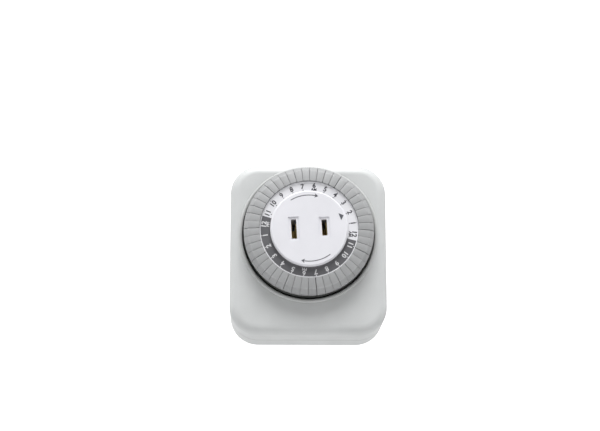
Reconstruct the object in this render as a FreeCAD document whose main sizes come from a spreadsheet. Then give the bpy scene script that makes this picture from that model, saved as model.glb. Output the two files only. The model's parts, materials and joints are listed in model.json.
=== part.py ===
import FreeCAD, Part
import Sketcher
import math
import os
import re

# A plug-in 24-hour timer switch, built as its separate pieces.
# Millimetres, +Z up. The front faces -Y, the back face lies on Y = 0 and the dial turns about the Y axis.
# A depth is a distance in front of the back face, so the point at depth d has Y = -d.
# An angle round the dial is counted clockwise from the top, as seen from the front.

doc = FreeCAD.newDocument("PlugInTimer")
V = FreeCAD.Vector
FORWARD = V(0, -1, 0)

# Driving dimensions

SIZES = {
    # Housing
    "side_room": 5.8,
    "top_rim": 2.4,
    "case_bottom": 42.6,
    "rear_depth": 14.0,
    "wall": 2.0,
    "case_corner": 12.0,
    "front_edge": 4.0,
    "rear_edge": 1.2,
    "parting_groove": 0.4,
    "boss_inset": 7.5,
    "boss_radius": 3.2,
    "screw_radius": 1.1,
    "screw_head_radius": 2.0,
    "screw_head": 1.6,
    "screw_seat": 8.0,
    "screw_end_room": 2.5,
    "hole_clearance": 0.2,
    "thread_clearance": 0.03,
    # Chassis plate
    "train_room": 8.0,
    "dial_room": 8.0,
    "chassis_thickness": 2.0,
    "chassis_gap": 0.3,
    # Dial
    "pin_length": 6.6,
    "dial_clearance": 0.8,
    "dial_turn": 8.1,
    "drum_radius": 20.6,
    "drum_wall": 1.2,
    "hub_wall": 1.9,
    "hub_clearance": 0.1,
    "drum_gap": 0.3,
    "drum_rise": 7.7,
    "drum_web": 1.2,
    "flange_inset": 2.8,
    "flange_thickness": 2.5,
    "ring_thickness": 1.2,
    "dial_module": 0.5,
    "dial_teeth": 72,
    "dial_gear_width": 2.5,
    # Push pins
    "pin_count": 48,
    "pins_per_group": 2,
    "pin_proud": 0.9,
    "pin_gap": 0.15,
    "pin_bevel_drop": 2.6,
    "pin_bevel_run": 2.0,
    "stem_setback": 1.9,
    "stem_width": 3.0,
    "stem_angle": 4.0,
    "stem_recess": 0.2,
    "stem_clearance": 0.1,
    "pin_travel": 2.8,
    "head_room": 0.5,
    # Outlet
    "outlet_turn": 3.4,
    "post_radius": 13.0,
    "post_flange_radius": 16.0,
    "post_flange": 1.2,
    "face_radius": 16.2,
    "face_gap": 0.3,
    "face_thickness": 1.7,
    "face_edge": 0.6,
    "blade_spacing": 12.7,
    "slot_width": 2.2,
    "neutral_slot": 8.3,
    "hot_slot": 6.9,
    "slot_frame": 1.1,
    "slot_frame_depth": 0.5,
    "cavity_width": 5.6,
    "cavity_length": 10.0,
    "outlet_screw_z": 10.6,
    "outlet_screw_depth": 7.0,
    # Plug blades and the strips behind them
    "blade_thickness": 1.52,
    "neutral_blade": 7.94,
    "hot_blade": 6.35,
    "blade_length": 16.5,
    "blade_inside": 9.0,
    "blade_z": 10.0,
    "blade_hole": 1.6,
    "blade_hole_from_tip": 4.8,
    "blade_tip": 0.5,
    "blade_clearance": 0.05,
    "strip": 0.5,
    "strip_width": 4.0,
    "strip_end": 4.8,
    "contact_width": 6.0,
    "contact_lift": 1.0,
    "contact_setback": 2.4,
    "strip_post_x": 16.0,
    "strip_post": 1.6,
    "load_strip_x": 18.8,
    "rivet_radius": 0.8,
    "rivet_head_radius": 1.3,
    "rivet_head": 0.5,
    # Motor
    "motor_z": -22.0,
    "motor_gap": 0.6,
    "motor_height": 9.4,
    "ear_reach": 2.5,
    "motor_radius": 16.0,
    "motor_shell": 0.8,
    "motor_plate": 1.0,
    "coil_inner": 7.6,
    "coil_outer": 14.6,
    "coil_end": 0.8,
    "coil_clearance": 0.3,
    "magnet_radius": 6.2,
    "rotor_shaft": 0.6,
    "bearing_clearance": 0.05,
    "claw_count": 8,
    "claw_inner": 6.6,
    "claw_outer": 7.3,
    "claw_angle": 17.0,
    "ear_radius": 2.8,
    "motor_post_radius": 2.4,
    "lead_radius": 0.5,
    "lead_bend": 1.6,
    "lead_inset": 1.0,
    "lead_spread": 4.5,
    "lead_start": 1.4,
    "lead_out": 0.6,
    "lead_rise": 3.4,
    "lead_back": 2.4,
    "neutral_lead_z": 1.0,
    "hot_lead_drop": 1.6,
    "lead_hole_width": 14.0,
    "lead_hole_depth": 3.0,
    "lead_hole_height": 4.0,
    "lead_hole_lip": 1.0,
    "fuse_overlap": 0.5,
    # Small details
    "blade_block": 2.6,
    "blade_block_rise": 2.5,
    "blade_block_end": 1.6,
    "recess_depth": 0.7,
    "recess_long": 1.2,
    "recess_wide": 0.25,
    "screw_cover": 1.2,
    "slider_cover": 0.6,
    "groove_depth": 0.5,
    "groove_half": 0.3,
    "groove_pitch": 1.4,
    "window_end": 1.2,
    "way_room": 0.3,
    "output_collar_width": 0.6,
    "output_head": 0.6,
    "output_head_width": 0.4,
    "washer_clearance": 0.02,
    "washer_width": 0.75,
    "washer_metal": 0.3,
    "washer_rim": 0.2,
    "tab_end": 1.2,
    # Reduction gears
    "train_module": 0.25,
    "train_pinion": 8,
    "rotor_pinion_width": 1.4,
    "wheel_1_teeth": 72,
    "wheel_2_teeth": 80,
    "wheel_3_teeth": 80,
    "wheel_3_pinion": 10,
    "wheel_4_teeth": 80,
    "wheel_4_pinion": 9,
    "clutch_wheel_teeth": 90,
    "final_pinion_teeth": 8,
    "wheel_thickness": 0.8,
    "level_pitch": 1.25,
    "first_level_gap": 0.6,
    "rotor_pinion_overlap": 0.3,
    "arbor_radius": 0.4,
    "arbor_shoulder": 0.75,
    "arbor_head": 0.3,
    "wheel_1_angle": 61.0,
    "wheel_2_angle": 161.5,
    "wheel_3_angle": 263.8,
    "output_angle": 228.8,
    "output_shaft": 0.9,
    "output_collar": 2.0,
    # Switch
    "lever_pivot_z": -10.0,
    "lever_pin_radius": 0.8,
    "lever_width": 5.4,
    "pivot_rise": 0.2,
    "lever_drop": 0.7,
    "lever_rise": 1.2,
    "lever_hub": 1.7,
    "nose_width": 1.1,
    "nose_gap": 0.2,
    "lever_tail": 2.2,
    "nose_thickness": 0.75,
    "nose_position": 8,
    "window_gap": 0.6,
    "pillar": 1.0,
    "pillar_rise": 1.8,
    "pillar_half": 2.0,
    "fixed_strip_drop": 2.6,
    "contact_strip_half": 1.1,
    "contact_z": -4.0,
    "contact_radius": 1.2,
    "contact_gap": 1.03,
    "contact_height": 0.7,
    "spring_wire": 0.13,
    "spring_radius": 1.15,
    "spring_turns": 3,
    "spring_z": 4.0,
    "bar_gap": 0.1,
    "bar_thickness": 0.7,
    "bar_half": 1.8,
    "bar_leg": 0.8,
    # Override slider
    "slider_z": 3.0,
    "slider_foot": 0.6,
    "slider_plate": 1.4,
    "slider_plate_height": 3.8,
    "slider_knob": 4.6,
    "slider_knob_height": 2.8,
    "slider_travel": 4.2,
    "slider_clearance": 0.2,
    "slider_recess": 0.3,
    "slider_rail": 8.0,
}

# Places that follow from the sizes above

DERIVED = {
    "dial_radius": "drum_radius + pin_length",
    "case_width": "2 * (dial_radius + side_room)",
    "case_top": "dial_radius + dial_clearance + top_rim",
    "motor_back": "wall + motor_gap",
    "motor_front": "motor_back + motor_height",
    "chassis_back": "motor_front + train_room",
    "chassis_front": "chassis_back + chassis_thickness",
    "case_depth": "chassis_front + dial_room",
    "screw_length": "case_depth - wall - screw_end_room - screw_seat",
    "drum_back": "chassis_front + post_flange + drum_gap",
    "flange_back": "case_depth - flange_inset",
    "flange_front": "flange_back + flange_thickness",
    "drum_front": "flange_front + drum_rise",
    "ring_front": "drum_front + ring_thickness",
    "pin_front": "ring_front + pin_proud",
    "pin_head_back": "flange_front + pin_travel + head_room",
    "stem_inner": "drum_radius + stem_setback",
    "stem_outer": "stem_inner + stem_width",
    "stem_tip": "flange_back + stem_recess",
    "face_back": "ring_front + face_gap",
    "face_front": "face_back + face_thickness",
    "contact_base": "chassis_front + contact_lift",
    "contact_front": "face_back - contact_setback",
    "first_level": "motor_front + first_level_gap",
    "lever_pivot_depth": "chassis_front + pivot_rise",
    "lever_back": "chassis_front - lever_drop",
    "lever_front": "chassis_front + lever_rise",
    "nose_front": "flange_back - nose_gap",
    "pillar_front": "chassis_front + pillar_rise",
    "fixed_strip_front": "chassis_back - fixed_strip_drop",
    "bar_back": "fixed_strip_front + bar_gap",
    "bar_front": "bar_back + bar_thickness",
    "slider_depth": "chassis_front + slider_foot + slider_plate_height / 2",
    "nose_angle": "(dial_turn + nose_position * 360 / pin_count) * 1deg",
    "lever_x": "(stem_inner + stem_outer) / 2 * sin(nose_angle)",
    "nose_z": "(stem_inner + stem_outer) / 2 * cos(nose_angle)",
    "neutral_x": "-blade_spacing / 2",
    "hot_x": "blade_spacing / 2",
    "hub_bore": "post_radius + hub_clearance",
    "hub_radius": "hub_bore + hub_wall",
}

sheet = doc.addObject("Spreadsheet::Sheet", "Sizes")
for row, (name, amount) in enumerate(SIZES.items(), 1):
    sheet.set(f"A{row}", name)
    sheet.set(f"B{row}", str(amount))
    sheet.setAlias(f"B{row}", name)
doc.recompute()


# Helpers

def formula(text):
    """A formula in size names, with each name pointing into the sheet."""
    return re.sub(r"[a-z][a-z_0-9]*", lambda word: qualified(word.group()), str(text))


def qualified(word):
    if word in DERIVED:
        return f"({formula(DERIVED[word])})"
    return f"Sizes.{word}" if word in SIZES else word


def size(text):
    """The present value of a formula in size names."""
    return float(sheet.evalExpression(formula(text)))


def bind(item, **cells):
    for name, text in cells.items():
        item.setExpression(name, formula(text))
    return item


def seat(item, x, depth, z):
    """Binds a placement's origin to the point (x, depth, z)."""
    item.setExpression(".Placement.Base.x", formula(x))
    item.setExpression(".Placement.Base.y", formula(f"-({depth})"))
    item.setExpression(".Placement.Base.z", formula(z))
    return item


def block(name, xs, depths, zs):
    """A box between two x values, two depths and two heights."""
    box = doc.addObject("Part::Box", name)
    bind(box, Length=f"({xs[1]}) - ({xs[0]})", Width=f"({depths[1]}) - ({depths[0]})",
         Height=f"({zs[1]}) - ({zs[0]})")
    return seat(box, xs[0], depths[1], zs[0])


def disc(name, radius, depths, x=0, z=0):
    """A cylinder whose axis points forward, between two depths."""
    cylinder = doc.addObject("Part::Cylinder", name)
    cylinder.Placement = FreeCAD.Placement(V(), FreeCAD.Rotation(V(1, 0, 0), 90))
    bind(cylinder, Radius=radius, Height=f"({depths[1]}) - ({depths[0]})")
    return seat(cylinder, x, depths[0], z)


def cross_pin(name, radius, xs, depth, z):
    """A cylinder along X."""
    cylinder = doc.addObject("Part::Cylinder", name)
    cylinder.Placement = FreeCAD.Placement(V(), FreeCAD.Rotation(V(0, 1, 0), 90))
    bind(cylinder, Radius=radius, Height=f"({xs[1]}) - ({xs[0]})")
    return seat(cylinder, xs[0], depth, z)


def fuse(name, items):
    whole = doc.addObject("Part::MultiFuse", name)
    whole.Shapes = items
    whole.Refine = True
    return whole


def cut(name, base, tools):
    rest = doc.addObject("Part::Cut", name)
    rest.Base = base
    rest.Tool = tools[0] if len(tools) == 1 else fuse(f"{name}_tools", tools)
    rest.Refine = True
    return rest


def group(name, items):
    """Separate solids that share one node."""
    together = doc.addObject("Part::Compound", name)
    together.Links = items
    return together


def feature(name, shape):
    """A solid computed from the sheet's values by the code that calls this."""
    item = doc.addObject("Part::Feature", name)
    item.Shape = shape
    return item


def turned(item):
    """Turns a piece of the outlet with its module, anticlockwise as seen from the front."""
    item.Placement = FreeCAD.Placement(V(), FreeCAD.Rotation(FORWARD, 1))
    item.setExpression(".Placement.Rotation.Angle", formula("outlet_turn"))
    return item


def new_body(name):
    return doc.addObject("PartDesign::Body", name)


def plane_of(body, role):
    return next(item for item in body.Origin.OriginFeatures if item.Role == role)


def sketch_on(body, name, role, offset=None):
    """A sketch on one of the body's own origin planes, moved along its normal by a formula."""
    sketch = body.newObject("Sketcher::SketchObject", name)
    sketch.AttachmentSupport = (plane_of(body, role), "")
    sketch.MapMode = "FlatFace"
    if offset is not None:
        sketch.setExpression(".AttachmentOffset.Base.z", formula(offset))
    return sketch


def polygon(sketch, corners):
    """A closed outline whose corners are bound to pairs of formulas."""
    count = len(corners)
    points = [V(size(x), size(y), 0) for x, y in corners]
    for index in range(count):
        sketch.addGeometry(Part.LineSegment(points[index], points[(index + 1) % count]), False)
    for index in range(count):
        sketch.addConstraint(Sketcher.Constraint("Coincident", index, 2, (index + 1) % count, 1))
    for index, (x, y) in enumerate(corners):
        for kind, text in (("DistanceX", x), ("DistanceY", y)):
            constraint = Sketcher.Constraint(kind, -1, 1, index, 1, size(text))
            number = sketch.addConstraint(constraint)
            sketch.renameConstraint(number, f"{kind}_{index}")
            sketch.setExpression(f"Constraints.{kind}_{index}", formula(text))
    return sketch


def edges_where(shape, test):
    return [f"Edge{number}" for number, edge in enumerate(shape.Edges, 1) if test(edge)]


def runs_forward(edge):
    first, last = edge.Vertexes[0].Point, edge.Vertexes[-1].Point
    return abs(first.x - last.x) < 1e-6 and abs(first.z - last.z) < 1e-6


def lies_at(depth):
    return lambda edge: all(abs(vertex.Point.y + depth) < 1e-6 for vertex in edge.Vertexes)


def rounded(body, name, radius, test, kind="Fillet"):
    """Fillets or chamfers the edges of the body's tip that pass the test."""
    doc.recompute()
    base = body.Tip
    result = body.newObject(f"PartDesign::{kind}", name)
    result.Base = (base, edges_where(base.Shape, test))
    result.setExpression("Radius" if kind == "Fillet" else "Size", formula(radius))
    return result


def prism(name, inset, depths, corner):
    """A block with the housing's rounded outline, set in from it by a distance."""
    body = new_body(name)
    sketch = sketch_on(body, f"{name}_outline", "XZ_Plane", depths[0])
    side = f"case_width / 2 - ({inset})"
    low, high = f"-(case_bottom - ({inset}))", f"case_top - ({inset})"
    polygon(sketch, [(f"-({side})", low), (side, low), (side, high), (f"-({side})", high)])
    pad = body.newObject("PartDesign::Pad", f"{name}_pad")
    pad.Profile = sketch
    pad.setExpression("Length", formula(f"({depths[1]}) - ({depths[0]})"))
    rounded(body, f"{name}_corners", corner, runs_forward)
    return body


def revolved(name, corners):
    """A body turned about the dial's axis from (radius, depth) corners."""
    body = new_body(name)
    sketch = sketch_on(body, f"{name}_profile", "XY_Plane")
    polygon(sketch, [(radius, f"-({depth})") for radius, depth in corners])
    turn = body.newObject("PartDesign::Revolution", f"{name}_turn")
    turn.Profile = sketch
    turn.ReferenceAxis = (sketch, ["V_Axis"])
    turn.Angle = 360
    return body


def around(radius, angle):
    """The point at a radius and a clockwise angle about the dial's axis."""
    return radius * math.sin(math.radians(angle)), radius * math.cos(math.radians(angle))


def solid_cylinder(radius, depths, x=0.0, z=0.0):
    return Part.makeCylinder(radius, depths[1] - depths[0], V(x, -depths[0], z), FORWARD)


def ring(inner, outer, depths, x=0.0, z=0.0):
    return solid_cylinder(outer, depths, x, z).cut(solid_cylinder(inner, depths, x, z))


pieces = []


def piece(label, item):
    """Keeps an object as one of the sub-parts that are written out."""
    item.Label = label
    pieces.append(item)
    return item


# Positions that several pieces share

screw_x = "(case_width / 2 - boss_inset)"
screw_zs = ("(case_top - boss_inset)", "(-(case_bottom - boss_inset))")
case_corners = [(f"{sign}{screw_x}", z) for sign in ("-", "") for z in screw_zs]
inner_corner = "case_corner - wall"
outlet_screws = ("-outlet_screw_z", "outlet_screw_z")
motor_posts = (("0", "motor_z + motor_radius + ear_reach"),
               ("-(motor_radius + ear_reach) * sin(45deg)", "motor_z - (motor_radius + ear_reach) * cos(45deg)"))
pin_pitch = 360 / size("pin_count")


# Housing

def front_cover():
    """Shell with the dial's well, the screw bosses and the slider's window."""
    outer = prism("front_shell", "0", ("rear_depth", "case_depth"), "case_corner")
    rounded(outer, "front_shell_edge", "front_edge", lies_at(size("case_depth")))
    inner = prism("front_room", "wall", ("rear_depth - 1", "case_depth - wall"), inner_corner)
    well = disc("dial_well", "dial_radius + dial_clearance", ("case_depth - wall - 1", "case_depth + 1"))
    plate_x = "case_width / 2 - wall - slider_plate - slider_clearance"
    height = "slider_knob_height / 2 + slider_clearance"
    length = "slider_knob / 2 + slider_travel / 2 + slider_clearance"
    window = block("slider_window", (plate_x, "case_width / 2 + 1"),
                   (f"slider_depth - ({height})", f"slider_depth + ({height})"),
                   (f"slider_z - ({length})", f"slider_z + ({length})"))
    shell = cut("front_hollow", outer, [inner, well, window])
    bosses = [disc(f"front_boss_{number}", "boss_radius", ("chassis_front", "case_depth - wall + fuse_overlap"), x, z)
              for number, (x, z) in enumerate(case_corners, 1)]
    rail_back = "slider_depth + slider_plate_height / 2 + slider_clearance"
    rail = block("slider_rail", (plate_x, "case_width / 2 - wall + fuse_overlap"),
                 (rail_back, "case_depth - wall + fuse_overlap"), ("slider_z - slider_rail", "slider_z + slider_rail"))
    holes = [disc(f"front_pilot_{number}", "screw_radius + thread_clearance",
                  ("chassis_front - 1", "screw_seat + screw_length + fuse_overlap"), x, z)
             for number, (x, z) in enumerate(case_corners, 1)]
    return cut("front_cover", fuse("front_with_bosses", [shell, *bosses, rail]), holes)


def rear_cover():
    """Tray against the wall, with the blades' slots and the screws' recesses."""
    outer = prism("rear_shell", "0", ("0", "rear_depth"), "case_corner")
    rounded(outer, "rear_shell_edge", "rear_edge", lies_at(0))
    rounded(outer, "rear_shell_groove", "parting_groove", lies_at(size("rear_depth")), "Chamfer")
    inner = prism("rear_room", "wall", ("wall", "rear_depth + 1"), inner_corner)
    shell = cut("rear_hollow", outer, [inner])
    bosses = [disc(f"rear_boss_{number}", "boss_radius", ("wall / 2", "chassis_back"), x, z)
              for number, (x, z) in enumerate(case_corners, 1)]
    blocks = [block(f"blade_block_{name}", (f"{x} - blade_block", f"{x} + blade_block"), ("wall / 2", "wall + blade_block_rise"),
                    (f"blade_z - {width} / 2 - blade_block_end", f"blade_z + {width} / 2 + blade_block_end"))
              for name, x, width in (("n", "neutral_x", "neutral_blade"), ("l", "hot_x", "hot_blade"))]
    shafts = [disc(f"screw_way_{number}", "screw_radius + hole_clearance", ("1", "chassis_front"), x, z)
              for number, (x, z) in enumerate(case_corners, 1)]
    recesses = [disc(f"screw_recess_{number}", "screw_head_radius + hole_clearance", ("-1", "screw_seat"), x, z)
                for number, (x, z) in enumerate(case_corners, 1)]
    slots = [block(f"blade_slot_{name}",
                   (f"{x} - blade_thickness / 2 - blade_clearance", f"{x} + blade_thickness / 2 + blade_clearance"),
                   ("-1", "wall + 4"),
                   (f"blade_z - {width} / 2 - blade_clearance", f"blade_z + {width} / 2 + blade_clearance"))
             for name, x, width in (("n", "neutral_x", "neutral_blade"), ("l", "hot_x", "hot_blade"))]
    return cut("rear_cover", fuse("rear_with_bosses", [shell, *bosses, *blocks]), [*shafts, *recesses, *slots])


def screw(name, x, z, head, tip):
    """A pan-head screw, driven from the back, with a cross recess in its head."""
    shank = disc(f"{name}_shank", "screw_radius", (head, tip), x, z)
    top = disc(f"{name}_head", "screw_head_radius", (f"{head} - screw_head", head), x, z)
    arms = [block(f"{name}_slot_{turn}", (f"{x} - {wide}", f"{x} + {wide}"),
                  (f"{head} - screw_head - 1", f"{head} - screw_head + recess_depth"), (f"{z} - {tall}", f"{z} + {tall}"))
            for turn, wide, tall in (("a", "recess_long", "recess_wide"), ("b", "recess_wide", "recess_long"))]
    return cut(name, fuse(f"{name}_blank", [shank, top]), arms)


def case_screws():
    return group("case_screws", [screw(f"case_screw_{number}", x, z, "screw_seat", "screw_seat + screw_length")
                                 for number, (x, z) in enumerate(case_corners, 1)])


# Chassis and gear train

def meeting_point(first, first_reach, second, second_reach):
    """The lower of the two points that lie at given distances from two others."""
    gap_x, gap_z = second[0] - first[0], second[1] - first[1]
    gap = math.hypot(gap_x, gap_z)
    along = (first_reach ** 2 - second_reach ** 2 + gap ** 2) / (2 * gap)
    aside = math.sqrt(first_reach ** 2 - along ** 2)
    return (first[0] + (along * gap_x + aside * gap_z) / gap,
            first[1] + (along * gap_z - aside * gap_x) / gap)


def reach(teeth, pinion, module="train_module"):
    """The distance between the centres of two meshed gears."""
    return size(f"({teeth} + {pinion}) * {module} / 2")


def stepped(start, distance, angle):
    x, z = around(distance, size(angle))
    return start[0] + x, start[1] + z


rotor_at = (0.0, size("motor_z"))
wheel_1_at = stepped(rotor_at, reach("wheel_1_teeth", "train_pinion"), "wheel_1_angle")
wheel_2_at = stepped(wheel_1_at, reach("wheel_2_teeth", "train_pinion"), "wheel_2_angle")
wheel_3_at = stepped(wheel_2_at, reach("wheel_3_teeth", "train_pinion"), "wheel_3_angle")
output_at = around(reach("dial_teeth", "final_pinion_teeth", "dial_module"), size("output_angle"))
wheel_4_at = meeting_point(wheel_3_at, reach("wheel_4_teeth", "wheel_3_pinion"),
                           output_at, reach("clutch_wheel_teeth", "wheel_4_pinion"))

TRAIN = (
    ("wheel_1", wheel_1_at, rotor_at, "wheel_1_teeth", "train_pinion", wheel_2_at),
    ("wheel_2", wheel_2_at, wheel_1_at, "wheel_2_teeth", "train_pinion", wheel_3_at),
    ("wheel_3", wheel_3_at, wheel_2_at, "wheel_3_teeth", "wheel_3_pinion", wheel_4_at),
    ("wheel_4", wheel_4_at, wheel_3_at, "wheel_4_teeth", "wheel_4_pinion", output_at),
)


def level(number):
    """The back and front depths of a level of the gear train, counted from 0."""
    back = size("first_level") + number * size("level_pitch")
    return back, back + size("wheel_thickness")


def toward(start, end):
    """The clockwise angle of one point seen from another."""
    return math.degrees(math.atan2(end[0] - start[0], end[1] - start[1]))


def gear(teeth, module, depths, centre, angle, tooth=True):
    """A gear with a tooth, or else a gap, pointing along an angle."""
    pitch = 360 / teeth
    radius = teeth * module / 2
    first = angle if tooth else angle + pitch / 2
    # Each corner of a tooth: its radius and its angle off the tooth's middle, in tooth pitches
    corners = ((radius - 1.15 * module, -0.25), (radius, -0.19), (radius + 0.8 * module, -0.08),
               (radius + 0.8 * module, 0.08), (radius, 0.19), (radius - 1.15 * module, 0.25))
    points = []
    for number in range(int(teeth)):
        for corner_radius, share in corners:
            x, z = around(corner_radius, first + (number + share) * pitch)
            points.append(V(centre[0] + x, -depths[0], centre[1] + z))
    face = Part.Face(Part.makePolygon([*points, points[0]]))
    return face.extrude(FORWARD * (depths[1] - depths[0]))


def train_wheel(number, at, before, teeth, pinion, after):
    """A wheel with its pinion one level in front of it, bored for its arbor."""
    module = size("train_module")
    back, front = level(number)
    top = level(number + 1)[1]
    wheel = gear(size(teeth), module, (back, front), at, toward(at, before), tooth=False)
    small = gear(size(pinion), module, (front, top), at, toward(at, after))
    bore = solid_cylinder(size("arbor_radius + bearing_clearance"), (back - 1, top + 1), *at)
    return wheel.fuse(small).cut(bore)


def gear_arbors():
    """Fixed steel pins, riveted in the chassis, with a head below each wheel."""
    arbors = []
    gap = size("bearing_clearance")
    for number, (name, at, *rest) in enumerate(TRAIN):
        back = level(number)[0] - gap
        top = level(number + 1)[1] + gap
        head = size("arbor_head")
        shoulder = solid_cylinder(size("arbor_shoulder"), (top, size("chassis_front")), *at)
        stem = solid_cylinder(size("arbor_radius"), (back - head, top), *at)
        cap = solid_cylinder(size("arbor_shoulder"), (back - head, back), *at)
        arbors.append(shoulder.fuse([stem, cap]))
    return feature("gear_arbors", Part.makeCompound(arbors))


def clutch_wheel():
    """The train's last wheel, which slips on the output shaft when the dial is set by hand."""
    depths = level(4)
    wheel = gear(size("clutch_wheel_teeth"), size("train_module"), depths, output_at,
                 toward(output_at, wheel_4_at), tooth=False)
    bore = solid_cylinder(size("output_shaft + bearing_clearance"), (depths[0] - 1, depths[1] + 1), *output_at)
    return feature("clutch_wheel", wheel.cut(bore))


def final_pinion():
    """Output shaft with the pinion that turns the dial, a collar and a head below the spring."""
    back, front = level(4)
    gap = size("bearing_clearance")
    shaft = size("output_shaft")
    low = level(3)[0]
    teeth = gear(size("final_pinion_teeth"), size("dial_module"),
                 (size("drum_back"), size("drum_back + dial_gear_width")),
                 output_at, toward(output_at, (0.0, 0.0)))
    parts = [solid_cylinder(shaft, (low, size("drum_back + dial_gear_width")), *output_at),
             solid_cylinder(size("output_collar"), (front + gap, front + gap + size("output_collar_width")), *output_at),
             solid_cylinder(shaft + size("output_head"), (low, low + size("output_head_width")), *output_at)]
    return feature("final_pinion", teeth.fuse(parts))


def clutch_spring():
    """A conical washer that presses the clutch wheel against the collar."""
    inner = size("output_shaft + washer_clearance")
    outer = inner + size("washer_width")
    low, high = level(3)[0] + size("output_head_width"), level(4)[0]
    metal, rim = size("washer_metal"), size("washer_rim")
    corners = [(inner, low), (inner, low + metal), (outer - rim, high), (outer, high), (outer, high - metal)]
    x, z = output_at
    points = [V(x + radius, -depth, z) for radius, depth in corners]
    face = Part.Face(Part.makePolygon([*points, points[0]]))
    return feature("clutch_spring", face.revolve(V(x, 0, z), FORWARD, 360))


def chassis_plate():
    """Moulded plate clamped between the covers, which carries every moving piece inside."""
    plate = prism("chassis_blank", "wall + chassis_gap", ("chassis_back", "chassis_front"),
                  f"{inner_corner} - chassis_gap")
    posts = [disc(f"motor_post_{number}", "motor_post_radius", ("motor_front", "chassis_back + fuse_overlap"), x, z)
             for number, (x, z) in enumerate(motor_posts, 1)]
    half = "lever_width / 2 + window_gap"
    pillars = [block(f"lever_pillar_{name}", (f"lever_x + {side}", f"lever_x + {side} + pillar"),
                     ("chassis_front - fuse_overlap", "pillar_front"), ("lever_pivot_z - pillar_half", "lever_pivot_z + pillar_half"))
               for name, side in (("in", f"-({half}) - pillar"), ("out", half))]
    strip_post = disc("strip_post_disc", "strip_post", ("fixed_strip_front", "chassis_back + fuse_overlap"), "strip_post_x",
                      "blade_z")
    window = block("lever_window", (f"lever_x - ({half})", f"lever_x + {half}"),
                   ("chassis_back - 1", "chassis_front + 1"),
                   ("lever_pivot_z - lever_tail - window_gap", "nose_z + nose_thickness / 2 + window_end"))
    bar_zs = ("spring_z - bar_half", "spring_z + bar_half")
    inner_side, outer_side = f"lever_x - ({half})", f"lever_x + {half}"
    bar = block("spring_bar", (f"{inner_side} - bar_leg", f"{outer_side} + bar_leg"), ("bar_back", "bar_front"), bar_zs)
    legs = [block(f"spring_bar_leg_{name}", xs, ("bar_back", "chassis_back + fuse_overlap"), bar_zs)
            for name, xs in (("in", (f"{inner_side} - bar_leg", inner_side)),
                             ("out", (outer_side, f"{outer_side} + bar_leg")))]
    pivot = cross_pin("pivot_holes", "lever_pin_radius + thread_clearance",
                      (f"lever_x - ({half}) - pillar - 1", f"lever_x + {half} + pillar + 1"),
                      "lever_pivot_depth", "lever_pivot_z")
    corner_holes = [disc(f"chassis_hole_{number}", "screw_radius + hole_clearance",
                         ("chassis_back - 1", "chassis_front + 1"), x, z)
                    for number, (x, z) in enumerate(case_corners, 1)]
    outlet_holes = [disc(f"outlet_hole_{number}", "screw_radius + hole_clearance",
                         ("chassis_back - 1", "chassis_front + 1"), "0", z)
                    for number, z in enumerate(outlet_screws, 1)]
    motor_holes = [disc(f"motor_hole_{number}", "screw_radius + thread_clearance",
                        ("motor_front - 1", "chassis_front - 1"), x, z)
                   for number, (x, z) in enumerate(motor_posts, 1)]
    ways = [block(f"strip_way_{name}", (f"{x} - strip - way_room", f"{x} + way_room"),
                  ("chassis_back - 1", "chassis_front + 1"),
                  ("-strip_width / 2 - way_room", "strip_width / 2 + way_room"))
            for name, x in (("n", "neutral_x - blade_thickness / 2"), ("l", "hot_x + strip / 2"))]
    rivet_hole = disc("strip_hole", "rivet_radius + thread_clearance",
                      ("fixed_strip_front - 1", "chassis_front + 1"), "strip_post_x", "blade_z")
    arbor_radius = size("arbor_shoulder + thread_clearance")
    through = (size("chassis_back") - 1, size("chassis_front") + 1)
    bores = [solid_cylinder(arbor_radius, through, *at) for _, at, *rest in TRAIN]
    bores.append(solid_cylinder(size("output_shaft + bearing_clearance"), through, *output_at))
    arbor_holes = feature("arbor_holes", Part.makeCompound(bores))
    opened = cut("chassis_opened", fuse("chassis_with_posts", [plate, *posts, *pillars, strip_post]), [window])
    return cut("chassis_plate", fuse("chassis_with_bar", [opened, bar, *legs]),
               [pivot, *corner_holes, *outlet_holes, *motor_holes, *ways, rivet_hole, arbor_holes])


def mechanism_screws():
    """Two screws hold the motor to its posts and two hold the outlet post to the chassis."""
    ear = "motor_front - motor_plate"
    motor = [screw(f"motor_screw_{number}", x, z, ear, "chassis_front - screw_cover")
             for number, (x, z) in enumerate(motor_posts, 1)]
    outlet = [screw(f"outlet_screw_{number}", "0", z, "chassis_back", "chassis_front + outlet_screw_depth")
              for number, z in enumerate(outlet_screws, 1)]
    return group("mechanism_screws", motor + outlet)


# Motor

def claws(depths, turn):
    """Pole claws of one half of the stator, round the rotor."""
    inner, outer = size("claw_inner"), size("claw_outer")
    count = int(size("claw_count"))
    x, z = rotor_at
    half = size("claw_angle") / 2
    made = []
    for number in range(count):
        start = turn + number * 360 / count
        outline = [around(inner, start - half), around(inner, start + half),
                   around(outer, start + half), around(outer, start - half)]
        points = [V(x + dx, -depths[0], z + dz) for dx, dz in outline]
        face = Part.Face(Part.makePolygon([*points, points[0]]))
        made.append(face.extrude(FORWARD * (depths[1] - depths[0])))
    return made


def motor_cup():
    """Steel cup that closes the magnetic path, with one set of pole claws."""
    back, front = size("motor_back"), size("motor_front - motor_plate")
    shell = size("motor_shell")
    radius = size("motor_radius")
    cup = solid_cylinder(radius, (back, front), *rotor_at)
    room = solid_cylinder(radius - shell, (back + shell, front + 1), *rotor_at)
    bearing = solid_cylinder(size("rotor_shaft + bearing_clearance"), (back - 1, back + 2), *rotor_at)
    wide, deep, tall = size("lead_hole_width"), size("lead_hole_depth"), size("lead_hole_height")
    corner = V(rotor_at[0] - wide / 2, -front - size("fuse_overlap"), rotor_at[1] + radius + size("lead_hole_lip") - tall)
    lead_hole = Part.makeBox(wide, deep, tall, corner)
    body = cup.cut(room).cut(bearing).cut(lead_hole)
    return feature("motor_cup", body.fuse(claws((back + shell / 2, front - 1.2), 0.0)))


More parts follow.
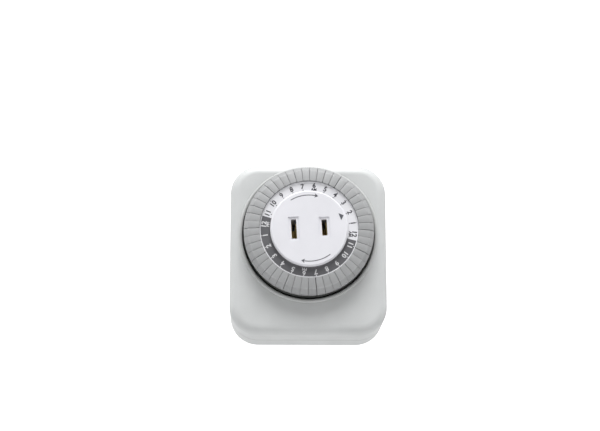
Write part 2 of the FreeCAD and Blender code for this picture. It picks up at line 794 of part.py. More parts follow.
def pole_plate():
    """Front plate of the motor, with its ears and the other pole claws."""
    back, front = size("motor_front - motor_plate"), size("motor_front")
    plate = solid_cylinder(size("motor_radius"), (back, front), *rotor_at)
    ears = []
    for x, z in motor_posts:
        place = (size(x), size(z))
        ears.append(solid_cylinder(size("ear_radius"), (back, front), *place))
    holes = [solid_cylinder(size("screw_radius + hole_clearance"), (back - 1, front + 1), size(x), size(z))
             for x, z in motor_posts]
    holes.append(solid_cylinder(size("rotor_shaft + bearing_clearance"), (back - 1, front + 1), *rotor_at))
    whole = plate.fuse(ears + claws((size("motor_back + motor_shell") + 1.2, back + 0.5),
                                    180 / size("claw_count")))
    return feature("pole_plate", whole.cut(holes))


def coil_depths():
    gap = size("coil_clearance")
    return size("motor_back + motor_shell") + gap, size("motor_front - motor_plate") - gap


def coil_bobbin():
    low, high = coil_depths()
    end = size("coil_end")
    inner, outer = size("coil_inner"), size("coil_outer")
    core = ring(inner, inner + end, (low, high), *rotor_at)
    flanges = [ring(inner, outer, depths, *rotor_at) for depths in ((low, low + end), (high - end, high))]
    return feature("coil_bobbin", core.fuse(flanges))


def coil_winding():
    low, high = coil_depths()
    end = size("coil_end")
    return feature("coil_winding", ring(size("coil_inner") + end + 0.02, size("coil_outer") - 0.4,
                                        (low + end + 0.02, high - end - 0.02), *rotor_at))


def rotor():
    """Ring magnet on its shaft, with the train's first pinion on the end."""
    low, high = coil_depths()
    magnet = solid_cylinder(size("magnet_radius"), (low + 0.5, high - 0.5), *rotor_at)
    pinion_depths = (size("first_level - rotor_pinion_overlap"),
                     size("first_level - rotor_pinion_overlap + rotor_pinion_width"))
    shaft = solid_cylinder(size("rotor_shaft"), (size("motor_back"), pinion_depths[1]), *rotor_at)
    pinion = gear(size("train_pinion"), size("train_module"), pinion_depths, rotor_at,
                  toward(rotor_at, wheel_1_at))
    return feature("rotor", magnet.fuse([shaft, pinion]))


def wire(points, radius, bend):
    """A round wire through points, with an arc at each corner."""
    edges = []
    start = points[0]
    for before, corner, after in zip(points, points[1:], points[2:]):
        back, on = (before - corner).normalize(), (after - corner).normalize()
        half = back.getAngle(on) / 2
        run = bend / math.tan(half)
        first, last = corner + back * run, corner + on * run
        middle_way = (back + on).normalize()
        middle = corner + middle_way * (bend / math.sin(half) - bend)
        edges.append(Part.LineSegment(start, first).toShape())
        edges.append(Part.Arc(first, middle, last).toShape())
        start = last
    edges.append(Part.LineSegment(start, points[-1]).toShape())
    path = Part.Wire(edges)
    circle = Part.Wire([Part.makeCircle(radius, points[0], points[1] - points[0])])
    return path.makePipeShell([circle], True, False)


def motor_leads():
    """Two insulated leads from the coil to the neutral strip and to the hot blade's strip."""
    radius = size("lead_radius")
    top = size("motor_z + motor_radius")
    inside = size("motor_front - motor_plate - lead_inset")
    strip_side = size("blade_spacing / 2 + blade_thickness / 2 + strip + thread_clearance") + radius
    made = []
    spread, behind = size("lead_spread"), size("lead_back") - inside
    for side, strip_z in ((-1, size("neutral_lead_z")), (1, size("blade_z - hot_lead_drop"))):
        points = [V(side * spread, -inside, top - size("lead_start")), V(side * spread, -inside, top + size("lead_out")),
                  V(side * strip_side, behind, top + size("lead_rise")), V(side * strip_side, behind, strip_z)]
        made.append(wire(points, radius, size("lead_bend")))
    return feature("motor_leads", Part.makeCompound(made))


# Dial

def dial_drum():
    """Dial moulding: hub on the outlet post, web, wall, slotted flange and gear."""
    wall = "drum_radius - drum_wall"
    drum = revolved("drum_turned", [
        ("hub_bore", "drum_back"), ("hub_radius", "drum_back"), ("hub_radius", "drum_front - drum_web"),
        (wall, "drum_front - drum_web"), (wall, "flange_back"), ("dial_radius", "flange_back"),
        ("dial_radius", "flange_front"), ("drum_radius", "flange_front"), ("drum_radius", "drum_front"),
        ("hub_bore", "drum_front")])
    slot = sketch_on(drum, "stem_slot", "XZ_Plane", "flange_front")
    half = "(stem_outer * tan(stem_angle / 2 * 1deg) + stem_clearance)"
    low, high = "stem_inner - stem_clearance * 2", "stem_outer + stem_clearance"
    polygon(slot, [(f"-{half}", low), (half, low), (half, high), (f"-{half}", high)])
    pocket = drum.newObject("PartDesign::Pocket", "stem_slot_cut")
    pocket.Profile = slot
    pocket.setExpression("Length", formula("flange_thickness"))
    doc.recompute()
    slots = drum.newObject("PartDesign::PolarPattern", "stem_slots")
    slots.Originals = [pocket]
    slots.Axis = (plane_of(drum, "Y_Axis"), [""])
    slots.Angle = 360
    slots.setExpression("Occurrences", formula("pin_count"))
    drum.Tip = slots
    drum.Placement = FreeCAD.Placement(V(), FreeCAD.Rotation(V(0, 1, 0), 1))
    drum.setExpression(".Placement.Rotation.Angle", formula("dial_turn + 180 / pin_count"))
    depths = (size("drum_back"), size("drum_back + dial_gear_width"))
    teeth = gear(size("dial_teeth"), size("dial_module"), depths, (0.0, 0.0),
                 toward((0.0, 0.0), output_at), tooth=False)
    bore = solid_cylinder(size("hub_bore") + 0.5, (depths[0] - 1, depths[1] + 1))
    return fuse("dial_drum", [drum, feature("dial_gear", teeth.cut(bore))])


def hour_ring():
    """Thin printed ring fixed on the front of the drum."""
    return revolved("hour_ring_body", [("hub_bore + 0.3", "drum_front"), ("drum_radius", "drum_front"),
                                       ("drum_radius", "ring_front"), ("hub_bore + 0.3", "ring_front")])


def push_pin(number):
    """One push pin: a bevelled head outside the drum's wall and a stem through the flange."""
    inner, outer = size("drum_radius + pin_gap"), size("dial_radius")
    back, front = size("pin_head_back"), size("pin_front")
    run, drop = size("pin_bevel_run"), size("pin_bevel_drop")
    middle = size("dial_turn") + (number + 0.5) * pin_pitch
    head_angle = pin_pitch - math.degrees(size("pin_gap") / size("(drum_radius + dial_radius) / 2"))
    head = sector([(inner, back), (outer, back), (outer, front - drop), (outer - run, front), (inner, front)],
                  middle, head_angle)
    stem = sector([(size("stem_inner"), size("stem_tip")), (size("stem_outer"), size("stem_tip")),
                   (size("stem_outer"), back + 0.5), (size("stem_inner"), back + 0.5)],
                  middle, size("stem_angle"))
    return head.fuse(stem)


def sector(corners, middle, angle):
    """A wedge about the dial's axis with flat sides, from (radius, depth) corners."""
    half = math.radians(angle / 2)
    sides = []
    for sign in (-1, 1):
        turn = math.radians(middle) + sign * half
        sides.append([V(radius * math.sin(turn), -depth, radius * math.cos(turn)) for radius, depth in corners])
    faces = [Part.Face(Part.makePolygon([*side, side[0]])) for side in sides]
    count = len(corners)
    for index in range(count):
        following = (index + 1) % count
        strip = [sides[0][index], sides[0][following], sides[1][following], sides[1][index]]
        faces.append(Part.Face(Part.makePolygon([*strip, strip[0]])))
    solid = Part.Solid(Part.Shell(faces))
    solid.fix(1e-6, 1e-6, 1e-6)
    return solid


# Outlet

def slot_places():
    return (("neutral", "neutral_x", "neutral_slot"), ("hot", "hot_x", "hot_slot"))


def outlet_post():
    """Round post that carries the dial and holds the two contacts."""
    post = fuse("post_blank", [disc("post_round", "post_radius", ("chassis_front", "face_back")),
                               disc("post_flange_disc", "post_flange_radius",
                                    ("chassis_front", "chassis_front + post_flange"))])
    cavities = [block(f"{name}_cavity", (f"{x} - cavity_width / 2", f"{x} + cavity_width / 2"),
                      ("chassis_front - 1", "face_back + 1"), ("-cavity_length / 2", "cavity_length / 2"))
                for name, x, _ in slot_places()]
    post = turned(cut("outlet_post_turned", post, cavities))
    screws = [disc(f"post_pilot_{number}", "screw_radius + thread_clearance",
                   ("chassis_front - 1", "chassis_front + outlet_screw_depth + 0.5"), "0", z)
              for number, z in enumerate(outlet_screws, 1)]
    return cut("outlet_post", post, screws)


def cone(name, back_radius, front_radius, depths):
    """A cone frustum whose axis points forward."""
    item = doc.addObject("Part::Cone", name)
    item.Placement = FreeCAD.Placement(V(), FreeCAD.Rotation(V(1, 0, 0), 90))
    bind(item, Radius1=back_radius, Radius2=front_radius, Height=f"({depths[1]}) - ({depths[0]})")
    return seat(item, 0, depths[0], 0)


def outlet_face():
    """Fixed face of the outlet: a disc with two slots, each in a shallow frame."""
    shoulder = "face_front - face_edge"
    plate = fuse("face_blank", [disc("face_disc", "face_radius", ("face_back", shoulder)),
                                cone("face_bevel", "face_radius", "face_radius - face_edge",
                                     (shoulder, "face_front"))])
    openings = []
    for name, x, length in slot_places():
        openings.append(block(f"{name}_slot_cut", (f"{x} - slot_width / 2", f"{x} + slot_width / 2"),
                              ("face_back - 1", "case_depth + face_back"),
                              (f"-{length} / 2", f"{length} / 2")))
        openings.append(block(f"{name}_frame_cut",
                              (f"{x} - slot_width / 2 - slot_frame", f"{x} + slot_width / 2 + slot_frame"),
                              ("face_front - slot_frame_depth", "case_depth + face_back"),
                              (f"-{length} / 2 - slot_frame * 0.9", f"{length} / 2 + slot_frame * 0.9")))
    return turned(cut("outlet_face", plate, openings))


def outlet_contact(name, x):
    """A brass clip: two leaves beside the blade, on a base with a rivet hole."""
    grip = "blade_thickness / 2"
    leaves = [block(f"{name}_leaf_{side}", (f"{x} + {low}", f"{x} + {high}"), ("contact_base", "contact_front"),
                    ("-contact_width / 2", "contact_width / 2"))
              for side, low, high in (("left", f"-{grip} - strip", f"-{grip}"), ("right", grip, f"{grip} + strip"))]
    base = block(f"{name}_base", (f"{x} - {grip} - strip", f"{x} + {grip} + strip"),
                 ("contact_base", "contact_base + strip"), ("-contact_width / 2", "contact_width / 2"))
    return turned(fuse(name, [*leaves, base]))


def neutral_bus():
    """Brass strip from the neutral contact back to the neutral blade."""
    side = "neutral_x - blade_thickness / 2"
    tab = block("neutral_tab", (f"{side} - strip", "neutral_x + tab_end"), ("contact_base - strip", "contact_base"),
                ("-strip_width / 2", "strip_width / 2"))
    leg = block("neutral_leg", (f"{side} - strip", side), ("strip_end", "contact_base"),
                ("-strip_width / 2", "strip_width / 2"))
    foot = block("neutral_foot", (f"{side} - strip", side), ("strip_end", "strip_end + strip_width"),
                 ("-strip_width / 2", "blade_z + strip_width / 2 + 1"))
    hole = cross_pin("neutral_rivet_hole", "rivet_radius + thread_clearance", (f"{side} - 2", f"{side} + 2"),
                     "strip_end + strip_width / 2", "blade_z")
    return cut("neutral_bus", fuse("neutral_strip", [tab, leg, foot]), [hole])


def load_bus():
    """Brass strip behind the chassis, from the hot contact to the lever's pivot."""
    side = "hot_x + strip / 2"
    tab = block("load_tab", ("hot_x - tab_end", side), ("contact_base - strip", "contact_base"),
                ("-strip_width / 2", "strip_width / 2"))
    leg = block("load_leg", (f"{side} - strip", side), ("chassis_back - strip", "contact_base"),
                ("-strip_width / 2", "strip_width / 2"))
    across = block("load_across", (f"{side} - strip", "load_strip_x"), ("chassis_back - strip", "chassis_back"),
                   ("-strip_width / 2", "strip_width / 2"))
    down = block("load_down", ("load_strip_x - strip_width / 2", "load_strip_x"), ("chassis_back - strip", "chassis_back"),
                 ("lever_pivot_z - 2", "strip_width / 2"))
    return fuse("load_bus", [tab, leg, across, down])


def blade(name, x, width):
    """Plug blade with a hole, a chamfered tip and an inner end with shoulders."""
    thick = "blade_thickness / 2"
    body = new_body(f"{name}_body")
    sketch = sketch_on(body, f"{name}_outline", "YZ_Plane", f"{x} - {thick}")
    low, high = f"blade_z - {width} / 2", f"blade_z + {width} / 2"
    polygon(sketch, [("-blade_inside", low), ("blade_length", low), ("blade_length", high), ("-blade_inside", high)])
    pad = body.newObject("PartDesign::Pad", f"{name}_pad")
    pad.Profile = sketch
    pad.setExpression("Length", formula("blade_thickness"))
    tip = size("blade_length")
    rounded(body, f"{name}_tip", "blade_tip",
            lambda edge: all(abs(vertex.Point.y - tip) < 1e-6 for vertex in edge.Vertexes), "Chamfer")
    eye = cross_pin(f"{name}_eye", "blade_hole", (f"{x} - 2", f"{x} + 2"),
                    "-(blade_length - blade_hole_from_tip)", "blade_z")
    rivet = cross_pin(f"{name}_rivet_hole", "rivet_radius + thread_clearance", (f"{x} - 2", f"{x} + 2"),
                      "strip_end + strip_width / 2", "blade_z")
    return cut(name, body, [eye, rivet])


def terminal_rivets():
    """Rivets that join each blade to its strip and the live strip to the chassis."""
    half = "blade_thickness / 2"
    made = []
    for name, x, sign in (("neutral", "neutral_x", "-"), ("hot", "hot_x", "")):
        ends = [f"{x} {sign or '+'} ({half} + strip)", f"{x} {'+' if sign else '-'} {half}"]
        low, high = ends if sign else ends[::-1]
        shank = cross_pin(f"{name}_rivet", "rivet_radius", (low, high), "strip_end + strip_width / 2", "blade_z")
        heads = [cross_pin(f"{name}_rivet_low", "rivet_head_radius", (f"{low} - rivet_head", low),
                           "strip_end + strip_width / 2", "blade_z"),
                 cross_pin(f"{name}_rivet_high", "rivet_head_radius", (high, f"{high} + rivet_head"),
                           "strip_end + strip_width / 2", "blade_z")]
        made.append(fuse(f"{name}_rivet_whole", [shank, *heads]))
    shank = disc("live_rivet", "rivet_radius", ("fixed_strip_front - strip", "chassis_front"), "strip_post_x", "blade_z")
    heads = [disc("live_rivet_back", "rivet_head_radius",
                  ("fixed_strip_front - strip - rivet_head", "fixed_strip_front - strip"), "strip_post_x", "blade_z"),
             disc("live_rivet_front", "rivet_head_radius", ("chassis_front", "chassis_front + rivet_head"),
                  "strip_post_x", "blade_z")]
    made.append(fuse("live_rivet_whole", [shank, *heads]))
    return group("terminal_rivets", made)


# Switch

def follower_lever():
    """Rocking lever whose nose stands between the stems of the push pins."""
    wide = "lever_width / 2"
    beam = block("lever_beam", (f"lever_x - {wide}", f"lever_x + {wide}"), ("lever_back", "lever_front"),
                 ("lever_pivot_z - lever_tail", "nose_z + nose_thickness / 2"))
    hub = cross_pin("lever_hub_round", "lever_hub", (f"lever_x - {wide}", f"lever_x + {wide}"),
                    "lever_pivot_depth", "lever_pivot_z")
    nose = block("lever_nose", ("lever_x - nose_width / 2", "lever_x + nose_width / 2"),
                 ("lever_front - fuse_overlap", "nose_front - nose_thickness / 2"),
                 ("nose_z - nose_thickness / 2", "nose_z + nose_thickness / 2"))
    tip = cross_pin("lever_tip", "nose_thickness / 2", ("lever_x - nose_width / 2", "lever_x + nose_width / 2"),
                    "nose_front - nose_thickness / 2", "nose_z")
    bore = cross_pin("lever_bore", "lever_pin_radius + bearing_clearance",
                     (f"lever_x - {wide} - 1", f"lever_x + {wide} + 1"), "lever_pivot_depth", "lever_pivot_z")
    return cut("follower_lever", fuse("lever_blank", [beam, hub, nose, tip]), [bore])


def lever_pin():
    reach_out = "lever_width / 2 + window_gap + pillar"
    return cross_pin("lever_pin", "lever_pin_radius", (f"lever_x - ({reach_out})", f"lever_x + {reach_out}"),
                     "lever_pivot_depth", "lever_pivot_z")


def moving_contact():
    """Contact strip under the lever, with its button."""
    strip = block("moving_strip", ("lever_x - contact_strip_half", "lever_x + contact_strip_half"), ("lever_back - strip", "lever_back"),
                  ("lever_pivot_z + 2", "contact_z + 2"))
    button = disc("moving_button", "contact_radius", ("lever_back - strip - contact_height", "lever_back - strip"),
                  "lever_x", "contact_z")
    return fuse("moving_contact", [strip, button])


def fixed_contact():
    """Live strip from the hot blade to the button that the lever closes on."""
    side = "hot_x + blade_thickness / 2"
    front = "fixed_strip_front"
    along = block("fixed_along", ("lever_x - contact_strip_half", "lever_x + contact_strip_half"), (f"{front} - strip", front),
                  ("contact_z - 2", "blade_z + strip_width / 2"))
    across = block("fixed_across", (side, "lever_x + contact_strip_half"), (f"{front} - strip", front),
                   ("blade_z - strip_width / 2", "blade_z + strip_width / 2"))
    leg = block("fixed_leg", (side, f"{side} + strip"), ("strip_end", front),
                ("blade_z - strip_width / 2", "blade_z + strip_width / 2"))
    button_front = "lever_back - strip - contact_height - contact_gap"
    button = disc("fixed_button", "contact_radius", (front, button_front), "lever_x", "contact_z")
    holes = [cross_pin("fixed_rivet_hole", "rivet_radius + thread_clearance", (f"{side} - 2", f"{side} + 2"),
                       "strip_end + strip_width / 2", "blade_z"),
             disc("live_rivet_hole", "rivet_radius + thread_clearance", (f"{front} - 2", f"{front} + 1"),
                  "strip_post_x", "blade_z")]
    return cut("fixed_contact", fuse("fixed_strip", [along, across, leg, button]), holes)


def lever_spring():
    """Small compression spring between the chassis' bar and the lever."""
    wire_radius = size("spring_wire")
    radius = size("spring_radius")
    low = size("bar_front") + wire_radius
    high = size("lever_back") - wire_radius
    helix = Part.makeHelix((high - low) / size("spring_turns"), high - low, radius)
    circle = Part.Wire([Part.makeCircle(wire_radius, V(radius, 0, 0), V(0, 1, 0))])
    coil = Part.Wire(helix.Edges).makePipeShell([circle], True, True)
    coil.rotate(V(), V(1, 0, 0), 90)
    coil.translate(V(size("lever_x"), -low, size("spring_z")))
    return feature("lever_spring", coil)


def override_slider():
    """Slider on the right side: a plate inside and a ribbed knob in the window."""
    outside = "case_width / 2 - slider_recess"
    inside = "case_width / 2 - wall - slider_clearance"
    plate_half = "slider_knob / 2 + slider_travel + slider_cover"
    plate = block("slider_plate_block", (f"{inside} - slider_plate", inside),
                  ("slider_depth - slider_plate_height / 2", "slider_depth + slider_plate_height / 2"),
                  (f"slider_z - ({plate_half})", f"slider_z + ({plate_half})"))
    knob = block("slider_knob_block", (f"{inside} - 0.5", outside),
                 ("slider_depth - slider_knob_height / 2", "slider_depth + slider_knob_height / 2"),
                 ("slider_z - slider_knob / 2", "slider_z + slider_knob / 2"))
    ribs = [block(f"slider_groove_{number}", (f"{outside} - groove_depth", f"{outside} + 1"),
                  ("slider_depth - slider_knob_height", "slider_depth + slider_knob_height"),
                  (f"slider_z + ({middle}) - groove_half", f"slider_z + ({middle}) + groove_half"))
            for number, middle in enumerate(("-groove_pitch", "0", "groove_pitch"), 1)]
    return cut("override_slider", fuse("slider_blank", [plate, knob]), ribs)


# Sub-parts

piece("front_cover", front_cover())
piece("rear_cover", rear_cover())
piece("case_screws", case_screws())
piece("chassis_plate", chassis_plate())
piece("mechanism_screws", mechanism_screws())
piece("gear_arbors", gear_arbors())
piece("motor_cup", motor_cup())
piece("pole_plate", pole_plate())
piece("coil_bobbin", coil_bobbin())
piece("coil_winding", coil_winding())
piece("rotor", rotor())
piece("motor_leads", motor_leads())
for number, (name, at, before, teeth, pinion, after) in enumerate(TRAIN):
    piece(name, feature(name, train_wheel(number, at, before, teeth, pinion, after)))
piece("clutch_wheel", clutch_wheel())
piece("clutch_spring", clutch_spring())
piece("final_pinion", final_pinion())
piece("outlet_post", outlet_post())
piece("outlet_face", outlet_face())
piece("neutral_contact", outlet_contact("neutral_contact", "neutral_x"))
piece("hot_contact", outlet_contact("hot_contact", "hot_x"))
piece("neutral_bus", neutral_bus())
piece("load_bus", load_bus())
piece("neutral_blade", blade("neutral_blade", "neutral_x", "neutral_blade"))
piece("hot_blade", blade("hot_blade", "hot_x", "hot_blade"))
piece("terminal_rivets", terminal_rivets())
piece("fixed_contact", fixed_contact())
piece("moving_contact", moving_contact())
piece("follower_lever", follower_lever())
piece("lever_pin", lever_pin())
piece("lever_spring", lever_spring())
piece("override_slider", override_slider())
piece("dial_drum", dial_drum())
piece("hour_ring", hour_ring())

per_group = int(size("pins_per_group"))
for first in range(0, int(size("pin_count")), per_group):
    name = f"push_pins_{first // per_group + 1:02d}"
    pins = [push_pin(first + number) for number in range(per_group)]
    piece(name, feature(name, Part.makeCompound(pins)))

doc.recompute()

# Check every object, then write one file for each sub-part

faults = [f"{item.Name}: {item.State}" for item in doc.Objects if {"Invalid", "Error"} & set(item.State)]
faults += [f"{item.Label}: no valid shape" for item in pieces if item.Shape.isNull() or not item.Shape.isValid()]
faults += [f"{item.Label}: no solid" for item in pieces if not item.Shape.Solids]
if faults:
    raise SystemExit("\n".join(faults))

os.makedirs("parts", exist_ok=True)
for item in pieces:
    item.Shape.exportStep(f"parts/{item.Label}.step")
    print(f"{item.Label}: {len(item.Shape.Solids)} solids, {item.Shape.Volume:.1f} mm3")
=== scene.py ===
# %% [markdown]
# # A plug in timer switch
# The real object is a wall timer. A dial of 48 push pins turns round a fixed outlet face, and two
# blades on its back go into the wall. The CAD model already has every piece in its place. This
# lesson dresses it: it gives each piece a finish made of nodes, and it remakes the pieces whose
# rounded edges, printing or windings the plain solids can't show.

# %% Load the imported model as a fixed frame
import json
import math

import bmesh
import bpy
import numpy as np
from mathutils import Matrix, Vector


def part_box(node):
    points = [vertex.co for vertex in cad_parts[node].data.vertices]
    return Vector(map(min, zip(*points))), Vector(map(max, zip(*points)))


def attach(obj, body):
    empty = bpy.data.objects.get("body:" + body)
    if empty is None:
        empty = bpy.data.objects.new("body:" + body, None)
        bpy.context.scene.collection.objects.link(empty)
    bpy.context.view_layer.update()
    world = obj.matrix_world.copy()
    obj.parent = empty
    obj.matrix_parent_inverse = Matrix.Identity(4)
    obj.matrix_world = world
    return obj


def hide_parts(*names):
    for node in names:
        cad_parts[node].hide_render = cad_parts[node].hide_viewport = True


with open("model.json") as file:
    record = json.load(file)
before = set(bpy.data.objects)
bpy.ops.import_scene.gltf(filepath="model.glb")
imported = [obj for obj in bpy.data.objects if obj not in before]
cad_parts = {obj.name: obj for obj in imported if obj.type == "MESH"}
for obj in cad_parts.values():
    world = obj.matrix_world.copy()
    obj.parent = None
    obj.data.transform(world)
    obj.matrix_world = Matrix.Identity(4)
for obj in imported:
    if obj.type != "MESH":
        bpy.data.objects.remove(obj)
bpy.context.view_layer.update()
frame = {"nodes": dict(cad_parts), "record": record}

nodes = frame["nodes"]

# %% [markdown]
# ## Places on the dial
# A dial is easiest to describe as a clock face: a radius, an angle that runs clockwise from the top,
# and a depth, counted from the wall towards the viewer. One function turns these into Blender's
# axes, where x is to the right, z is up and the viewer stands at minus y.

# %% From clock places to points
MM = 0.001


def dial_point(radius, angle, depth):
    """x is the radius times the sine of the angle, z is the radius times its cosine, y is minus the depth."""
    turn = np.radians(angle)
    return np.stack(np.broadcast_arrays(radius * np.sin(turn), -np.asarray(depth, float),
                                        radius * np.cos(turn)), -1) * MM


low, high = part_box("hour_ring")
RING_FRONT = -low.y / MM
RING_OUTER = high.x / MM
low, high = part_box("outlet_face")
FACE_FRONT = -low.y / MM
print("ring", RING_FRONT, RING_OUTER, "face", FACE_FRONT)

# %% [markdown]
# ## Surfaces from grids
# A surface is a grid of points, worked out as one array. Four neighbours make a face. Where the
# shape closes on itself, the last row or column joins the first, and an open end gets a cap.

# %% Grid to mesh


def grid_faces(rows, columns, loop_rows, loop_columns):
    """The corner numbers of each face: a point, its neighbour in the next row, and the two beside them."""
    index = np.arange(rows * columns).reshape(rows, columns)
    index = np.vstack([index, index[:1]]) if loop_rows else index
    index = np.hstack([index, index[:, :1]]) if loop_columns else index
    return np.stack([index[:-1, :-1], index[1:, :-1], index[1:, 1:], index[:-1, 1:]], -1).reshape(-1, 4)


def mesh_piece(name, points, faces, crease=35.0):
    """Keeps points and faces as an object at the origin, faces outwards, smooth below the crease angle."""
    mesh = bpy.data.meshes.new(name)
    mesh.from_pydata(np.asarray(points).reshape(-1, 3).tolist(), [], faces)
    shape = bmesh.new()
    shape.from_mesh(mesh)
    bmesh.ops.remove_doubles(shape, verts=shape.verts, dist=1e-7)
    bmesh.ops.recalc_face_normals(shape, faces=shape.faces)
    shape.to_mesh(mesh)
    shape.free()
    mesh.shade_smooth()
    mesh.set_sharp_from_angle(angle=math.radians(crease))
    made = bpy.data.objects.new(name, mesh)
    bpy.context.scene.collection.objects.link(made)
    return made


def joined(grids, loop_rows, loop_columns, caps):
    """Points and faces of several grids as one shape. Caps close a grid's first and last column."""
    points, faces, shift = [], [], 0
    for grid in grids:
        rows, columns = grid.shape[:2]
        faces += (grid_faces(rows, columns, loop_rows, loop_columns) + shift).tolist()
        if caps:
            rim = np.arange(rows) * columns + shift
            faces += [rim.tolist(), (rim + columns - 1).tolist()]
        points.append(grid.reshape(-1, 3))
        shift += rows * columns
    return np.concatenate(points), faces


print("a grid of 3 by 4 closed both ways has", len(grid_faces(3, 4, True, True)), "faces")

# %% [markdown]
# ## Rounded outlines
# Moulded plastic has no sharp edge. So each outline has its corners rounded by a small arc, and
# every point of it keeps the direction in which it faces, which lets the same outline be shrunk
# evenly at the two ends of a piece.

# %% Round the corners of an outline


def round_outline(corners, radius, steps=4):
    """Each corner moves in until an arc of the radius touches both its sides.

    Gives the points and their outward normals."""
    corners = np.asarray(corners, float)
    before = corners - np.roll(corners, 1, 0)
    after = np.roll(corners, -1, 0) - corners
    side = lambda run: np.stack([run[:, 1], -run[:, 0]], 1) / np.hypot(*run.T)[:, None]
    first, last = side(before), side(after)
    area = np.sum(corners[:, 0] * np.roll(corners[:, 1], -1) - np.roll(corners[:, 0], -1) * corners[:, 1])
    first, last = first * np.sign(area), last * np.sign(area)
    centre = corners - radius * (first + last) / (1 + np.sum(first * last, 1))[:, None]
    share = np.linspace(0, 1, steps)[None, :, None]
    normals = first[:, None] * (1 - share) + last[:, None] * share
    normals = normals / np.linalg.norm(normals, axis=2, keepdims=True)
    points = centre[:, None] + radius * normals
    return points.reshape(-1, 2), normals.reshape(-1, 2)


square, square_normals = round_outline([(0, 0), (1, 0), (1, 1), (0, 1)], 0.1)
print("a rounded square has", len(square), "points and faces out by", square_normals[0])

# %% [markdown]
# ## One rounded wedge, many uses
# A push pin's head, its stem and other small mouldings are all wedges cut from a ring. The outline
# runs in radius and depth, and is carried across the wedge's width. Near each side it shrinks along a
# quarter circle, so that the side edges are as round as the rest.

# %% A wedge with rounded edges


def rounded_wedge(corners, middle, angle, gap, radius, lift=0.0, steps=4):
    """Sideways place: radius times the half angle's tangent, less half the gap, less the rounding, plus
    its sine part. Inwards shift of the outline: the rounding times one minus the cosine. Both run over
    a quarter turn."""
    outline, normals = round_outline(corners, radius, steps)
    quarter = np.radians(np.linspace(0, 90, steps))
    inset = radius * (1 - np.cos(np.concatenate([quarter[::-1], quarter])))
    out = radius * (np.sin(np.concatenate([quarter[::-1], quarter])) - 1)
    sign = np.repeat([-1.0, 1.0], steps)
    shrunk = outline[:, None] - normals[:, None] * inset[None, :, None]
    reach = shrunk[..., 0]
    side = sign * (reach * math.tan(math.radians(angle / 2)) - gap / 2 + out)
    turn = math.radians(middle)
    x = reach * math.sin(turn) + side * math.cos(turn)
    z = reach * math.cos(turn) - side * math.sin(turn)
    return np.stack([x, -(shrunk[..., 1] + lift), z], -1) * MM


print("wedge grid", rounded_wedge([(1, 0), (2, 0), (2, 1), (1, 1)], 0, 20, 0.1, 0.1).shape)

# %% [markdown]
# ## The push pins
# Each of the 48 pins stands for half an hour. Its head is a flat key with a slope at the outer edge,
# and its narrow stem goes down through the dial's flange. No two of the real pins stand quite level,
# so each head here is lifted or leaned by a few hundredths of a millimetre.

# %% Push pins, two to a node
PIN_COUNT = 48
PITCH = 360 / PIN_COUNT
FIRST = 8.1
PIN_INNER, PIN_OUTER, RIDGE = 20.66, 27.2, 25.4
PIN_BACK, PIN_FRONT, RIDGE_DEPTH, RIM_DEPTH = 33.0, 39.5, 38.5, 36.6
HEAD = [(PIN_INNER, PIN_BACK), (PIN_OUTER, PIN_BACK), (PIN_OUTER, RIM_DEPTH), (RIDGE, RIDGE_DEPTH),
        (PIN_INNER, PIN_FRONT)]
STEM_INNER, STEM_OUTER, STEM_TIP, STEM_TOP = 22.55, 25.45, 27.45, 33.4
STEM = [(STEM_INNER, STEM_TIP), (STEM_OUTER, STEM_TIP), (STEM_OUTER, STEM_TOP), (STEM_INNER, STEM_TOP)]
STEM_ANGLE, STEM_ROUNDING = 3.9, 0.1
PIN_GAP, PIN_ROUNDING = 0.11, 0.15
MEAN_LIFT, MEAN_LEAN = 0.035, 0.09
rng = np.random.default_rng(PIN_COUNT)
lifts = np.minimum(rng.normal(0, MEAN_LIFT, PIN_COUNT), 0.0)
leans = rng.normal(0, MEAN_LEAN, PIN_COUNT)

pin_pieces = []
for pair in range(PIN_COUNT // 2):
    heads, stems = [], []
    for pin in (2 * pair, 2 * pair + 1):
        middle = FIRST + (pin + 0.5) * PITCH
        heads.append(rounded_wedge(HEAD, middle + leans[pin], PITCH, PIN_GAP, PIN_ROUNDING, lifts[pin]))
        stems.append(rounded_wedge(STEM, middle, STEM_ANGLE, 0.0, STEM_ROUNDING))
    points, faces = joined(heads + stems, True, False, True)
    label = f"push_pins_{pair + 1:02d}"
    made = mesh_piece(f"pins_{pair + 1:02d}_rounded", points, faces, 50)
    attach(made, label)
    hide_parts(label)
    pin_pieces.append(made)
print("push pins:", 2 * len(pin_pieces), "faces each:", len(pin_pieces[0].data.polygons) // 2)

# %% [markdown]
# ## The hour ring
# The ring that carries the hours is a thin printed moulding. It is a profile turned round the dial's
# axis, with a raised lip at each edge that catches the light.

# %% Turned profiles


def turned(profile, around):
    """Carries a profile of radius and depth round the axis: each of its points gives one circle."""
    angles = np.linspace(0, 360, around, endpoint=False)
    points = dial_point(profile[:, None, 0], angles[None], profile[:, None, 1])
    return points, grid_faces(len(profile), around, True, True).tolist()


RING_INNER, RING_BACK = 13.4, 37.4
FIELD_DROP, LIP, LIP_SLOPE = 0.16, 0.35, 0.25
FIELD_INNER, INNER_LIP = 16.6, 16.3
FIELD = RING_FRONT - FIELD_DROP
ring_profile, _ = round_outline([
    (RING_INNER, RING_BACK), (RING_OUTER, RING_BACK), (RING_OUTER, RING_FRONT),
    (RING_OUTER - LIP, RING_FRONT), (RING_OUTER - LIP - LIP_SLOPE, FIELD), (FIELD_INNER, FIELD),
    (INNER_LIP, RING_FRONT), (RING_INNER, RING_FRONT)], 0.07)
points, faces = turned(ring_profile, 192)
hour_ring = mesh_piece("hour_ring_printed", points, faces)
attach(hour_ring, "dial")
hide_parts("hour_ring")
print("hour ring:", len(hour_ring.data.polygons), "faces")

